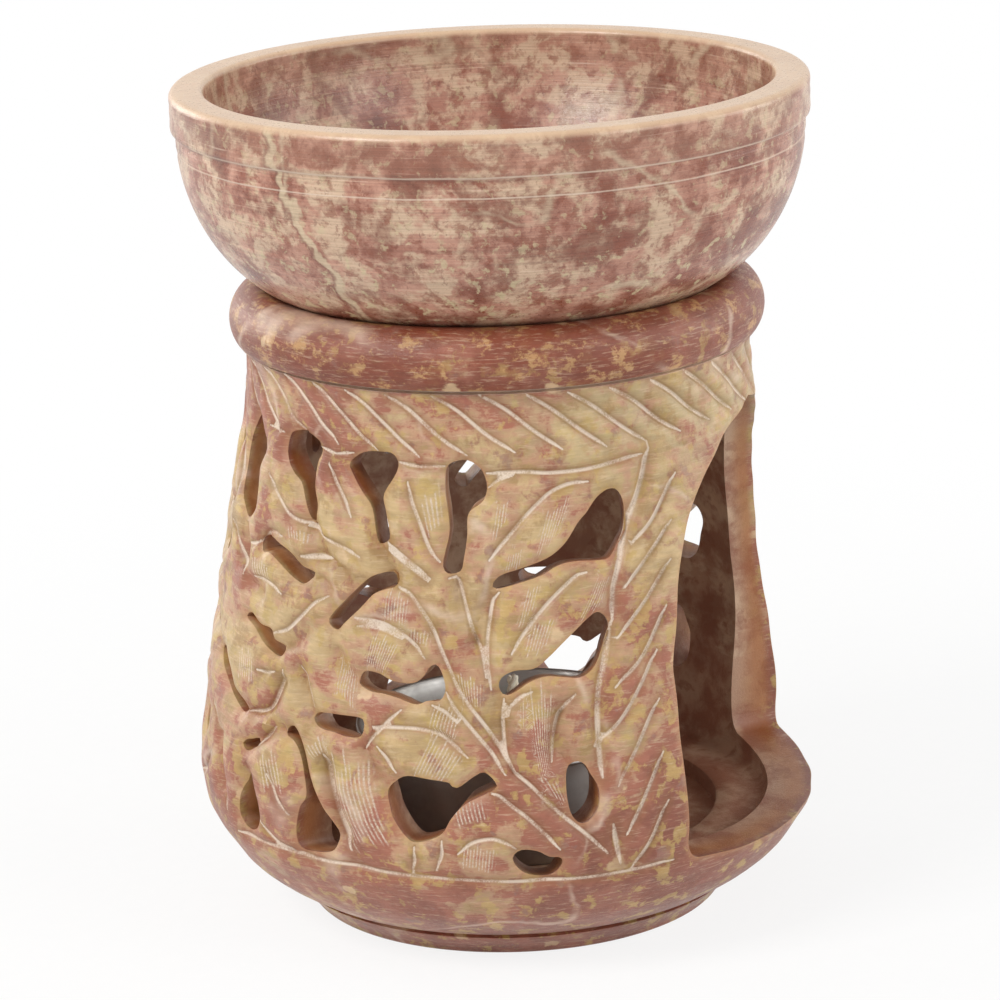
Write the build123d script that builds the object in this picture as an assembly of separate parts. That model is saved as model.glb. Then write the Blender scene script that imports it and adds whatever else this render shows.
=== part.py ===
from build123d import *
import math
import os

# Carved soapstone oil burner: a pierced, one-piece stand, a loose oil bowl and a tealight.
# Lengths are in millimetres and angles in degrees.
# The origin is the middle of the foot, on the surface that the burner stands on, and +Z is up.
# The door for the tealight faces -Y. Azimuths are counted from the door's middle.

# Tealight
cup_radius = 19.0
cup_height = 13.0
cup_wall = 0.4
cup_lip_width = 0.5
cup_lip_height = 0.6
wax_height = 9.5
wax_fit = 0.2
wax_edge_width = 1.0
sustainer_radius = 6.0
sustainer_thickness = 0.4
sustainer_neck_radius = 1.7
sustainer_neck_height = 3.0
wick_radius = 0.8
wick_height = 17.5
wick_fit = 0.15
wick_lean = 12

# Stand, inside: the recess takes the tealight, and the cavity takes the recess.
recess_play = 5.8
ledge_width = 6.2
recess_radius = cup_radius + recess_play
cavity_radius = recess_radius + ledge_width
recess_floor_height = 8.0
ledge_height = 10.5
ledge_corner_width = 1.0
cavity_straight_height = 6.5

# Stand, outside
foot_radius = 25.3
foot_height = 2.8
foot_top_radius = 27.4
foot_groove_height = 0.7
foot_groove_depth = 0.5
foot_edge_radius = 0.6
belly_wall = 7.1
belly_radius = cavity_radius + belly_wall
body_height = 69.7
neck_groove_height = 0.6
neck_groove_depth = 0.5
wall_thickness = 4.4

# Stand, rolled collar that carries the bowl
collar_crest_radius = 28.2
collar_crest_height = 6.5
collar_roll_width = 3.55
collar_roll_height = 3.9
mouth_angle = 137
throat_height = 3.0

# Stand, door
door_half_angle = 42.5
sill_height = 13.2
sill_dip = 1.2
sill_corner_radius = 3.0
door_spring_height = 36.0
door_arch_height = 26.4

# Stand, pierced panels on both sides of the door
pierced_bottom_height = 14.0
pierced_top_height = 61.5
back_azimuth = 180

# Bowl
bowl_foot_radius = 19.0
bowl_swell_width = 18.0
bowl_swell_height = 20.95
bowl_band_height = 5.0
bowl_band_proud = 0.55
bowl_rim_wall = 4.1
bowl_floor_thickness = 4.8
bowl_inner_floor_radius = 15.0
bowl_rim_outer_rounding = 0.9
bowl_rim_inner_rounding = 0.7
seat_gap = 0.2

# One overrun for all cuts
overrun = 5.0

# Round stretches of a turned profile are short straight cones, so many to each.
foot_edge_steps = 1
collar_steps = 5
swell_steps = 5
bowl_inside_steps = 4
rim_rounding_steps = 1
seat_steps = 60
quarter_turn = 90

# Body of the stand from the foot groove to the neck: shares of the body height,
# of the belly radius, and of the wall thickness at that height.
body_shares = [
    (0.052, 0.742, 1.90),
    (0.080, 0.822, 1.75),
    (0.115, 0.892, 1.65),
    (0.200, 0.984, 1.45),
    (0.258, 1.000, 1.60),
    (0.416, 0.963, 1.10),
    (0.717, 0.869, 0.96),
    (0.904, 0.801, 0.84),
    (0.975, 0.790, 0.80),
]

# Right half of the door's arch, from its springing to its crown:
# shares of the door's half angle and of the arch's height.
arch_shares = [
    (1.000, 0.00),
    (0.945, 0.23),
    (0.870, 0.475),
    (0.745, 0.68),
    (0.535, 0.84),
    (0.355, 0.93),
    (0.000, 1.00),
]

# Openings between the leaves of one panel. Each point is a share of the way from the door's
# jamb to the middle of the back, and a share of the pierced band's height.
leaf_opening_shares = {
    "upper_leaf_by_door": [
        (0.253, 0.703), (0.233, 0.735), (0.175, 0.760), (0.141, 0.798), (0.106, 0.859),
        (0.073, 0.905), (0.047, 0.890), (0.044, 0.821), (0.065, 0.766), (0.095, 0.747),
        (0.153, 0.747), (0.204, 0.716),
    ],
    "middle_leaf_by_door": [
        (0.248, 0.467), (0.226, 0.503), (0.189, 0.514), (0.141, 0.583), (0.109, 0.625),
        (0.089, 0.596), (0.102, 0.530), (0.127, 0.480), (0.167, 0.484), (0.205, 0.476),
        (0.233, 0.446),
    ],
    "lower_bead_by_door": [
        (0.163, 0.257), (0.149, 0.278), (0.131, 0.244), (0.121, 0.181), (0.137, 0.133),
        (0.154, 0.137), (0.164, 0.200),
    ],
    "bottom_bead": [
        (0.238, 0.046), (0.222, 0.072), (0.185, 0.051), (0.173, 0.032), (0.191, 0.000),
        (0.224, 0.008),
    ],
    "first_drop": [
        (0.321, 0.981), (0.295, 1.000), (0.265, 0.975), (0.257, 0.937), (0.280, 0.884),
        (0.290, 0.821), (0.298, 0.749), (0.319, 0.739), (0.322, 0.779), (0.316, 0.842),
        (0.321, 0.926),
    ],
    "second_drop": [
        (0.489, 0.975), (0.462, 1.008), (0.415, 1.008), (0.400, 0.985), (0.422, 0.909),
        (0.412, 0.832), (0.422, 0.796), (0.433, 0.806), (0.447, 0.891), (0.476, 0.941),
    ],
    "long_leaf_gap": [
        (0.506, 0.598), (0.458, 0.686), (0.410, 0.728), (0.399, 0.707), (0.432, 0.674),
        (0.462, 0.623), (0.491, 0.579),
    ],
    "middle_gap": [
        (0.449, 0.461), (0.429, 0.491), (0.397, 0.474), (0.364, 0.474), (0.340, 0.516),
        (0.324, 0.484), (0.327, 0.436), (0.364, 0.421), (0.410, 0.440),
    ],
    "small_gap": [
        (0.521, 0.354), (0.495, 0.373), (0.444, 0.375), (0.439, 0.341), (0.465, 0.324),
        (0.509, 0.333),
    ],
    "three_cornered_gap": [
        (0.400, 0.200), (0.385, 0.238), (0.346, 0.244), (0.309, 0.227), (0.269, 0.263),
        (0.255, 0.232), (0.291, 0.189), (0.320, 0.137), (0.349, 0.088), (0.378, 0.101),
    ],
    "lower_crescent": [
        (0.575, 0.299), (0.556, 0.322), (0.531, 0.253), (0.498, 0.137), (0.474, 0.067),
        (0.495, 0.021), (0.538, 0.019), (0.542, 0.084), (0.531, 0.168), (0.545, 0.263),
    ],
    "third_drop": [
        (0.635, 0.975), (0.622, 1.019), (0.575, 1.025), (0.548, 0.994), (0.557, 0.916),
        (0.549, 0.832), (0.564, 0.834), (0.589, 0.903), (0.625, 0.943),
    ],
    "fourth_drop": [
        (0.740, 1.019), (0.700, 0.964), (0.711, 0.895), (0.705, 0.808), (0.735, 0.775),
        (0.778, 0.817), (0.788, 0.884), (0.771, 0.979),
    ],
    "branch_slit": [
        (0.671, 0.741), (0.633, 0.754), (0.582, 0.728), (0.540, 0.695), (0.560, 0.669),
        (0.609, 0.695), (0.658, 0.712),
    ],
    "leaf_slit": [
        (0.696, 0.537), (0.673, 0.556), (0.625, 0.539), (0.589, 0.505), (0.600, 0.478),
        (0.647, 0.501),
    ],
    "long_slit": [
        (0.788, 0.411), (0.753, 0.429), (0.713, 0.358), (0.665, 0.318), (0.680, 0.303),
        (0.735, 0.343),
    ],
    "lower_slit": [
        (0.669, 0.232), (0.644, 0.255), (0.631, 0.255), (0.640, 0.229), (0.658, 0.215),
    ],
    "lower_bead": [
        (0.647, 0.173), (0.621, 0.080), (0.633, 0.025), (0.662, 0.015), (0.676, 0.048),
        (0.660, 0.116),
    ],
    "fifth_drop": [
        (0.895, 0.979), (0.873, 1.011), (0.836, 1.006), (0.822, 0.968), (0.840, 0.884),
        (0.836, 0.811), (0.858, 0.808), (0.867, 0.905),
    ],
    "back_leaf_gap": [
        (0.902, 0.642), (0.858, 0.695), (0.808, 0.705), (0.818, 0.667), (0.862, 0.629),
    ],
    "back_slit": [
        (0.925, 0.484), (0.887, 0.516), (0.836, 0.495), (0.847, 0.458), (0.892, 0.448),
    ],
    "back_lower_gap": [
        (0.905, 0.226), (0.873, 0.265), (0.815, 0.253), (0.807, 0.200), (0.840, 0.126),
        (0.887, 0.142),
    ],
}

# The far panel is the same hand's mirror image, with these openings cut a little elsewhere:
# shares of the same sweep and the same band.
far_panel_shift_shares = {
    "small_gap": (-0.090, -0.030),
    "three_cornered_gap": (0.020, -0.085),
    "long_leaf_gap": (0.030, 0.030),
    "middle_gap": (0.050, 0.000),
    "leaf_slit": (0.000, -0.025),
    "middle_leaf_by_door": (-0.010, -0.045),
}

# Right halves of the openings that lie across the middle of the back.
back_opening_shares = {
    "back_drop": [
        (0.000, 1.000), (0.024, 0.985), (0.034, 0.925), (0.018, 0.840), (0.011, 0.780),
        (0.000, 0.765),
    ],
    "back_eye": [(0.000, 0.640), (0.020, 0.600), (0.016, 0.520), (0.000, 0.480)],
    "back_leaf": [(0.000, 0.340), (0.026, 0.280), (0.030, 0.190), (0.014, 0.110), (0.000, 0.090)],
}


def body_point(entry, inward=0):
    """Point of the body's outline, moved in by a number of wall thickness shares."""
    height_share, radius_share, wall_share = entry
    radius = radius_share * belly_radius - inward * wall_share * wall_thickness
    return (radius, height_share * body_height)


def collar_point(angle):
    """Point of the collar's half-round section at an angle round its middle."""
    radius = collar_crest_radius + collar_roll_width * math.cos(math.radians(angle))
    middle = body_height + collar_crest_height - collar_roll_height
    return (radius, middle + collar_roll_height * math.sin(math.radians(angle)))


def collar_bottom_angle():
    """Angle at which the collar's section meets the neck."""
    return -math.degrees(math.asin((collar_crest_height - collar_roll_height) / collar_roll_height))


def turned(points):
    """Solid turned round the Z axis from the corners of its half section."""
    return revolve(make_face(Plane.XZ * Polyline(*points, close=True)), Axis.Z)


def round_stretch(middle, width, height, start_angle, end_angle, steps):
    """Points along part of an ellipse, both ends included."""
    points = []
    for step in range(steps + 1):
        angle = math.radians(start_angle + (end_angle - start_angle) * step / steps)
        points.append((middle[0] + width * math.cos(angle), middle[1] + height * math.sin(angle)))
    return points


def stand_outside():
    """The turned outside of the stand, solid inside."""
    edge_middle = (foot_radius - foot_edge_radius, foot_edge_radius)
    foot_edge = round_stretch(edge_middle, foot_edge_radius, foot_edge_radius, -quarter_turn, 0, foot_edge_steps)
    groove = (foot_top_radius - foot_groove_depth, foot_height + foot_groove_height / 2)
    body = [body_point(entry) for entry in body_shares]
    neck_radius = body[-1][0]
    neck_groove = [
        (neck_radius, body_height - neck_groove_height),
        (neck_radius - neck_groove_depth, body_height - neck_groove_height / 2),
    ]
    collar_middle = (collar_crest_radius, body_height + collar_crest_height - collar_roll_height)
    collar = round_stretch(
        collar_middle,
        collar_roll_width,
        collar_roll_height,
        collar_bottom_angle(),
        mouth_angle,
        collar_steps,
    )
    foot = [(0, 0)] + foot_edge + [(foot_top_radius, foot_height), groove]
    return turned(foot + body + neck_groove + collar + [(0, collar[-1][1])])


def stand_cavity():
    """The turned hollow: recess for the tealight, ledge, cavity and mouth."""
    mouth = collar_point(mouth_angle)
    straight_top = ledge_height + cavity_straight_height
    recess = [
        (0, recess_floor_height),
        (recess_radius, recess_floor_height),
        (recess_radius, ledge_height),
    ]
    side = [
        (cavity_radius - ledge_corner_width, ledge_height),
        (cavity_radius, ledge_height + ledge_corner_width),
        (cavity_radius, straight_top),
    ]
    wall = [body_point(entry, 1) for entry in body_shares if entry[0] * body_height > straight_top]
    throat = [
        (mouth[0], mouth[1] - throat_height),
        (mouth[0], mouth[1] + overrun),
        (0, mouth[1] + overrun),
    ]
    return turned(recess + side + wall + throat)


def radial_section(distance, outline_at):
    """Flat section of a radial cut, in a plane square to -Y at a distance from the axis."""
    plane = Plane(origin=(0, -distance, 0), x_dir=(1, 0, 0), z_dir=(0, -1, 0))
    return plane * make_face(outline_at(distance))


def radial_cut(outline_at):
    """Cut whose walls all point at the stand's axis."""
    near = recess_radius / 2
    far = belly_radius + overrun
    return loft([radial_section(near, outline_at), radial_section(far, outline_at)], ruled=True)


def across(distance, angle):
    return distance * math.tan(math.radians(angle))


def door_cut():
    """The arched door, with a sill that dips a little in the middle."""

    def outline_at(distance):
        half = across(distance, door_half_angle)
        corner = sill_corner_radius * distance / cavity_radius
        arch = [
            (
                across(distance, share * door_half_angle),
                door_spring_height + height_share * door_arch_height,
            )
            for share, height_share in arch_shares
        ]
        mirrored_arch = [(-x, z) for x, z in reversed(arch)]
        right = Spline(*arch, tangents=[(0, 1), (-1, 0)])
        left = Spline(*mirrored_arch, tangents=[(-1, 0), (0, -1)])
        corner_top = sill_height + sill_corner_radius
        left_jamb = Line((-half, door_spring_height), (-half, corner_top))
        left_corner = EllipticalCenterArc(
            (corner - half, corner_top),
            corner,
            sill_corner_radius,
            start_angle=2 * quarter_turn,
            arc_size=quarter_turn,
        )
        sill = ThreePointArc(
            (corner - half, sill_height), (0, sill_height - sill_dip), (half - corner, sill_height)
        )
        right_corner = EllipticalCenterArc(
            (half - corner, corner_top),
            corner,
            sill_corner_radius,
            start_angle=3 * quarter_turn,
            arc_size=quarter_turn,
        )
        right_jamb = Line((half, corner_top), (half, door_spring_height))
        return [right, left, left_jamb, left_corner, sill, right_corner, right_jamb]

    return radial_cut(outline_at)


def pierced_height(share):
    return pierced_bottom_height + share * (pierced_top_height - pierced_bottom_height)


def panel_azimuth(share):
    """Azimuth from the door's middle at a share of the way from a jamb to the back."""
    return door_half_angle + share * (back_azimuth - door_half_angle)


def body_radius(height):
    """Outside radius of the body at a height, straight between the outline's points."""
    points = [body_point(entry) for entry in body_shares]
    for (low_radius, low), (high_radius, high) in zip(points, points[1:]):
        if height <= high:
            return low_radius + (high_radius - low_radius) * (height - low) / (high - low)
    return points[-1][0]


def wall_cut(places, middle):
    """Closed opening through the wall at -Y, from azimuths round the middle and heights."""
    corners = [
        (body_radius(height) * math.sin(math.radians(azimuth - middle)), height)
        for azimuth, height in places
    ]
    near = recess_radius / 2
    plane = Plane(origin=(0, -near, 0), x_dir=(1, 0, 0), z_dir=(0, -1, 0))
    face = plane * make_face(Polyline(*corners, close=True))
    return extrude(face, amount=belly_radius + overrun - near, dir=(0, -1, 0))


def leaf_cut(points, shift=(0, 0)):
    """One opening between leaves, in the panel on the side towards +X."""
    places = [(panel_azimuth(a + shift[0]), pierced_height(h + shift[1])) for a, h in points]
    middle = sum(azimuth for azimuth, _ in places) / len(places)
    return Rot(0, 0, middle) * wall_cut(places, middle)


def back_cut(points):
    """One opening across the middle of the back, from its right half."""
    sweep = back_azimuth - door_half_angle
    half = [(share * sweep, pierced_height(height_share)) for share, height_share in points]
    other_half = [(-azimuth, height) for azimuth, height in reversed(half[1:-1])]
    return Rot(0, 0, back_azimuth) * wall_cut(half + other_half, 0)


def pierced_cuts():
    """All openings of both panels and of the back."""
    cuts = []
    for name, points in leaf_opening_shares.items():
        cuts.append(mirror(leaf_cut(points), Plane.YZ))
        cuts.append(leaf_cut(points, far_panel_shift_shares.get(name, (0, 0))))
    for points in back_opening_shares.values():
        cuts.append(back_cut(points))
    return cuts


def make_stand():
    """The whole stand, turned, hollowed and pierced from one stone."""
    stand = stand_outside() - stand_cavity()
    stand -= door_cut()
    return stand - pierced_cuts()


def bowl_underside_rise(radius):
    """Height of the bowl's outside above its foot, at a radius."""
    share = max(0, radius - bowl_foot_radius) / bowl_swell_width
    return bowl_swell_height * (1 - math.sqrt(1 - share * share))


def bowl_resting_height():
    """Height of the bowl's foot when its swell rests on the collar, with the seat's gap."""
    highest = 0
    past_crest = mouth_angle - quarter_turn
    for step in range(seat_steps + 1):
        radius, height = collar_point(quarter_turn + past_crest * step / seat_steps)
        highest = max(highest, height - bowl_underside_rise(radius))
    return highest + seat_gap


def make_oil_bowl():
    """The turned bowl: flat foot, elliptical swell, plain band under a flat rim."""
    foot = bowl_resting_height()
    swell_radius = bowl_foot_radius + bowl_swell_width
    swell_top = foot + bowl_swell_height
    band_radius = swell_radius + bowl_band_proud
    rim = swell_top + bowl_band_height
    inner_rim_radius = band_radius - bowl_rim_wall
    inner_width = inner_rim_radius - bowl_inner_floor_radius
    inner_rim = rim - bowl_rim_inner_rounding
    inner_height = inner_rim - foot - bowl_floor_thickness
    swell = round_stretch(
        (bowl_foot_radius, swell_top),
        bowl_swell_width,
        bowl_swell_height,
        -quarter_turn,
        0,
        swell_steps,
    )
    outer_rounding = round_stretch(
        (band_radius - bowl_rim_outer_rounding, rim - bowl_rim_outer_rounding),
        bowl_rim_outer_rounding,
        bowl_rim_outer_rounding,
        0,
        quarter_turn,
        rim_rounding_steps,
    )
    inner_rounding = round_stretch(
        (inner_rim_radius + bowl_rim_inner_rounding, inner_rim),
        bowl_rim_inner_rounding,
        bowl_rim_inner_rounding,
        quarter_turn,
        2 * quarter_turn,
        rim_rounding_steps,
    )
    inside = round_stretch(
        (bowl_inner_floor_radius, inner_rim),
        inner_width,
        inner_height,
        0,
        -quarter_turn,
        bowl_inside_steps,
    )
    band = [(band_radius, swell_top + bowl_band_proud)]
    floor = [(0, foot + bowl_floor_thickness)]
    return turned([(0, foot)] + swell + band + outer_rounding + inner_rounding + inside[1:] + floor)


def make_tealight_cup():
    """Pressed cup with a straight side and a turned-out lip."""
    base = recess_floor_height
    top = base + cup_height
    side_radius = cup_radius - cup_lip_width
    return turned([
        (0, base),
        (side_radius, base),
        (side_radius, top - cup_lip_height),
        (cup_radius, top - cup_lip_height),
        (cup_radius, top),
        (side_radius - cup_wall, top),
        (side_radius - cup_wall, base + cup_wall),
        (0, base + cup_wall),
    ])


def make_tealight_wax():
    """Poured wax with a sunken edge, and with room for the wick and its sustainer."""
    base = recess_floor_height + cup_wall
    top = base + wax_height
    radius = cup_radius - cup_lip_width - cup_wall - wax_fit
    wax = turned([
        (0, base),
        (radius, base),
        (radius, top - wax_edge_width),
        (radius - wax_edge_width, top),
        (0, top),
    ])
    up = (Align.CENTER, Align.CENTER, Align.MIN)
    disc = Cylinder(sustainer_radius + wick_fit, sustainer_thickness + wick_fit, align=up)
    neck_height = sustainer_thickness + sustainer_neck_height + wick_fit
    neck = Cylinder(sustainer_neck_radius + wick_fit, neck_height, align=up)
    bore = Cylinder(wick_radius + wick_fit, wax_height + overrun, align=up)
    for cut in (disc, neck, bore):
        wax -= Pos(0, 0, base) * cut
    return wax


def make_wick_sustainer():
    """Thin disc with a crimped neck that holds the wick upright."""
    base = recess_floor_height + cup_wall
    up = (Align.CENTER, Align.CENTER, Align.MIN)
    disc = Cylinder(sustainer_radius, sustainer_thickness, align=up)
    neck = Cylinder(sustainer_neck_radius, sustainer_thickness + sustainer_neck_height, align=up)
    bore = Pos(0, 0, sustainer_thickness) * Cylinder(wick_radius, sustainer_neck_height + overrun, align=up)
    return Pos(0, 0, base) * (disc + neck - bore)


def make_tealight_wick():
    """Braided wick: straight through the wax, then leaning over at its free end."""
    base = recess_floor_height + cup_wall + sustainer_thickness
    straight = wax_height
    lean = math.radians(wick_lean)
    free = wick_height - straight
    path = Plane.XZ * FilletPolyline(
        (0, base),
        (0, base + straight),
        (free * math.sin(lean), base + straight + free * math.cos(lean)),
        radius=free,
    )
    return sweep(Plane.XY.offset(base) * Circle(wick_radius), path)


os.makedirs("parts", exist_ok=True)
export_step(make_stand(), "parts/stand.step")
export_step(make_oil_bowl(), "parts/oil_bowl.step")
export_step(make_tealight_cup(), "parts/tealight_cup.step")
export_step(make_tealight_wax(), "parts/tealight_wax.step")
export_step(make_wick_sustainer(), "parts/wick_sustainer.step")
export_step(make_tealight_wick(), "parts/tealight_wick.step")
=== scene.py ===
import math

import bpy
import numpy as np
from bpy.props import FloatProperty, FloatVectorProperty, PointerProperty
from mathutils import Matrix, Vector
from mathutils.geometry import delaunay_2d_cdt
from mathutils.kdtree import KDTree


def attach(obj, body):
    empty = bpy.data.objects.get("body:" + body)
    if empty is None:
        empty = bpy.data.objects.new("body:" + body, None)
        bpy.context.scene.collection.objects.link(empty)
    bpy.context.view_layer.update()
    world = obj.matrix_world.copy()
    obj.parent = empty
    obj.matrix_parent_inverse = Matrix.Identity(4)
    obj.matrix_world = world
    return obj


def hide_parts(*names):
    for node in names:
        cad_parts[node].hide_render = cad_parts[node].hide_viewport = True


bl_info = {
    "name": "Carved Stone Oil Burner",
    "version": (1, 0, 0),
    "blender": (4, 5, 0),
    "location": "3D View > Sidebar > Oil Burner",
    "description": "Pierced stone stand with a turned bowl above and a tealight inside",
    "category": "Object",
}

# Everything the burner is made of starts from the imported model. Tables below are in
# millimetres and degrees, and MM turns millimetres into the scene's metres.
MM = 0.001
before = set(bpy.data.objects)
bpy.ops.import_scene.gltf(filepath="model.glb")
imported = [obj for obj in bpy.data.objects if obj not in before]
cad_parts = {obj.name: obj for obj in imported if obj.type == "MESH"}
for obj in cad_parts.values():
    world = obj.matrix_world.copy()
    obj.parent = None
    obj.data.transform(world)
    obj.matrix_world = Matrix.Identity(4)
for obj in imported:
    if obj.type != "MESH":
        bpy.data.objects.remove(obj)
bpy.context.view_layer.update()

# Carving is laid out on the unrolled wall: degrees round it, counted from the line in the
# middle of the photographed side (minus to the left), and millimetres above the table.
# The door's middle lies this many degrees to the right of that line.
DOOR_TURN = 74.5
DOOR_HALF = 42.5

# Heights and radii of the turned outside of the body, from above the foot to the neck.
BODY = [
    (3.62, 28.27), (5.58, 31.32), (8.02, 33.99), (13.94, 37.49), (17.98, 38.1),
    (29.0, 36.69), (49.97, 33.11), (63.0, 30.52), (67.96, 30.10), (69.1, 30.10),
]
# Heights and radii of the hollow, from the ledge's corner to the throat.
HOLLOW = [
    (11.5, 31.0), (17.0, 31.0), (29.0, 31.85), (49.97, 28.89), (63.0, 26.82),
    (67.96, 26.58), (71.96, 25.6), (74.96, 25.6),
]

# Right half of the door's arch: shares of the door's half angle, and heights.
DOOR_ARCH = [
    (1.0, 36.0), (0.945, 42.07), (0.87, 48.54), (0.745, 53.95), (0.535, 58.18),
    (0.355, 60.55), (0.0, 62.4),
]
DOOR_SILL = 13.2
DOOR_SILL_DIP = 1.2
DOOR_CORNER = 3.0

# Openings between the leaves of the photographed panel.
OPENINGS = {
    "upper_leaf_by_door": [
        (-2.8, 47.4), (-2.3, 48.1), (-0.6, 48.8), (3.8, 49.5), (7.9, 50.2), (10.3, 50.9),
        (12.6, 52.0), (15.3, 53.9), (17.4, 54.9), (20, 56.4), (22.9, 57.2), (25, 56.8),
        (26.1, 54.9), (25.7, 52.4), (23.8, 51), (22, 49.9), (20, 49.5), (14.1, 49.7),
        (10.6, 49.4), (6.8, 48.4), (2.4, 47.7), (-1.5, 47.2)],
    "middle_leaf_by_door": [
        (-2.1, 36.2), (-1.5, 37.2), (0.9, 37.9), (4.7, 38.1), (7.6, 39.3), (10, 40.5),
        (12.6, 41.8), (15.3, 43.1), (17.6, 43.8), (19.3, 43.1), (19.8, 41.7), (18.5, 39.9),
        (17, 38.1), (15.3, 37.1), (13.2, 36.6), (9.7, 36.9), (6.8, 37.1), (3.8, 36.6),
        (0.9, 35.5), (-1.2, 35.2)],
    "lower_bead_by_door": [
        (9.7, 26.4), (11.2, 27.2), (12.9, 26.9), (14.1, 25.5), (15.3, 23.9), (15, 21.7),
        (13.2, 20.3), (11.5, 20.1), (10, 21.4), (9.4, 23.9)],
    "bottom_bead": [
        (-0.6, 16.4), (0.9, 17.4), (3.8, 17.2), (5.9, 16.4), (7.9, 16.2), (8.1, 15.3),
        (6.2, 14), (3.2, 14), (0.6, 14.9)],
    "first_drop": [
        (-12.1, 60.6), (-10, 61.4), (-7.1, 61.4), (-4.4, 60.3), (-3.4, 58.5), (-4.4, 56.9),
        (-7.4, 55.6), (-7.7, 53.1), (-8.4, 50.6), (-9.1, 49.2), (-11.5, 48.9),
        (-12.7, 49.6), (-12.4, 51), (-11.4, 53.5), (-11.8, 56), (-12.4, 58.1)],
    "second_drop": [
        (-35.3, 60.3), (-31.8, 61.7), (-27.4, 62), (-24.4, 61.9), (-23, 60.8),
        (-23.8, 59.4), (-26.2, 57.2), (-25.4, 55.3), (-24.3, 52.6), (-26.2, 51.7),
        (-27.1, 52.2), (-28.8, 55.6), (-31.2, 57.1), (-34.1, 58.9)],
    "long_leaf_gap": [
        (-37.6, 42.4), (-33.2, 45.3), (-28.5, 47.8), (-24.4, 48.6), (-22.9, 48.4),
        (-22.7, 47.1), (-24.7, 46.7), (-27.4, 46), (-30.3, 44.2), (-33.5, 42.4),
        (-35.3, 41.4)],
    "middle_gap": [
        (-29.7, 35.8), (-28.5, 37.2), (-25.6, 37.2), (-22.6, 36.5), (-18.5, 36.4),
        (-16.5, 37.2), (-15.3, 38.3), (-13.8, 38.6), (-12.7, 37.4), (-12.2, 35.8),
        (-13.2, 34.6), (-15.6, 34.5), (-17.9, 34), (-21.5, 34.6), (-24.4, 34.9),
        (-27.4, 35)],
    "small_gap": [
        (-39.7, 30.8), (-38.2, 31.6), (-33.2, 31.8), (-28.8, 31.8), (-28.2, 30.8),
        (-29.1, 29.6), (-32, 29.4), (-34.7, 29.6), (-38.2, 29.8)],
    "three_cornered_gap": [
        (-23.1, 23.9), (-21.5, 25.1), (-19.4, 25.8), (-15.6, 25.6), (-11.8, 25.3),
        (-10.9, 24.8), (-9.7, 24.8), (-7.1, 26), (-5, 26.5), (-2.9, 24.9), (-5.6, 23.9),
        (-8.8, 22.8), (-11.2, 21.2), (-13.2, 19.2), (-17.6, 18.1), (-19.7, 18.7),
        (-21.8, 20.6), (-22.6, 22.1)],
    "lower_crescent": [
        (-47, 28.1), (-45, 29.3), (-43.2, 28.7), (-41.5, 26.7), (-39.1, 23.1), (-37, 21),
        (-34.7, 19.2), (-33.2, 17.4), (-34.7, 15.6), (-39, 14.9), (-42.3, 14.9),
        (-43, 16.7), (-42, 20), (-40.5, 21.7), (-41.8, 25), (-44, 27.4)],
    "third_drop": [
        (-55.3, 60.3), (-54.3, 62.2), (-50, 62.9), (-46.7, 62.7), (-44.2, 62.1),
        (-43.3, 61), (-44.5, 59.6), (-44.7, 57.1), (-43.3, 54.9), (-43.7, 53.1),
        (-44.8, 53.1), (-46.7, 54.9), (-49, 56.9), (-51.7, 57.8), (-54, 58.9)],
    "fourth_drop": [
        (-69.7, 62.6), (-66.3, 60.6), (-64, 59.6), (-66, 57.1), (-64.8, 53.5), (-65, 52.2),
        (-69, 50.6), (-72.3, 51.7), (-75, 52.8), (-76.3, 55.3), (-75.3, 58.9),
        (-72.3, 61.7)],
    "branch_slit": [
        (-60.3, 49.4), (-57.3, 49.9), (-53.3, 49.4), (-49, 48.7), (-45.7, 47.8),
        (-42, 47.2), (-44.7, 45.8), (-47, 46), (-51.7, 47), (-57, 48), (-59.7, 47.8)],
    "leaf_slit": [
        (-63.7, 39.6), (-61, 40.4), (-57.3, 39.6), (-53.7, 39.5), (-52.2, 38.5),
        (-48.8, 38), (-50, 36.7), (-53.3, 37.1), (-56.7, 37.8), (-59.7, 38.9)],
    "long_slit": [
        (-76.3, 33.7), (-71.7, 34.4), (-69, 32.8), (-65.7, 30.8), (-61.7, 29.9),
        (-59.3, 29.2), (-61, 28.5), (-64.3, 29.2), (-68.3, 30.3), (-73, 32)],
    "lower_slit": [
        (-60, 24.9), (-58.4, 25.7), (-56.7, 26.0), (-54.7, 26.4), (-54.4, 25.7),
        (-55.6, 25.1), (-58.3, 24.3)],
    "lower_bead": [
        (-56.7, 22.2), (-55, 19.9), (-53.3, 17.4), (-55, 15.3), (-59, 14.6), (-61, 16),
        (-59.7, 18.5), (-58.3, 20.6)],
    "fifth_drop": [
        (-91, 60.5), (-88, 62), (-83, 61.8), (-81, 60), (-83.5, 56), (-83, 52),
        (-85.5, 52), (-87, 57)],
    "back_leaf_gap": [
        (-92, 44.5), (-86, 47), (-79, 47.5), (-80, 45.8), (-86, 44.2)],
    "back_slit": [
        (-95, 37), (-90, 38.5), (-83, 37.5), (-84, 35.7), (-90, 35.3)],
    "back_lower_gap": [
        (-92, 25), (-88, 27), (-80, 26), (-79, 23.5), (-84, 20), (-89, 21)],
}
# On the far panel these openings lie a little elsewhere: degrees further from the door,
# and millimetres up.
FAR_SHIFTS = {
    "small_gap": (-12.375, -1.425),
    "three_cornered_gap": (2.75, -4.0375),
    "long_leaf_gap": (4.125, 1.425),
    "middle_gap": (6.875, 0.0),
    "leaf_slit": (0.0, -1.1875),
    "middle_leaf_by_door": (-1.375, -2.1375),
}
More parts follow.
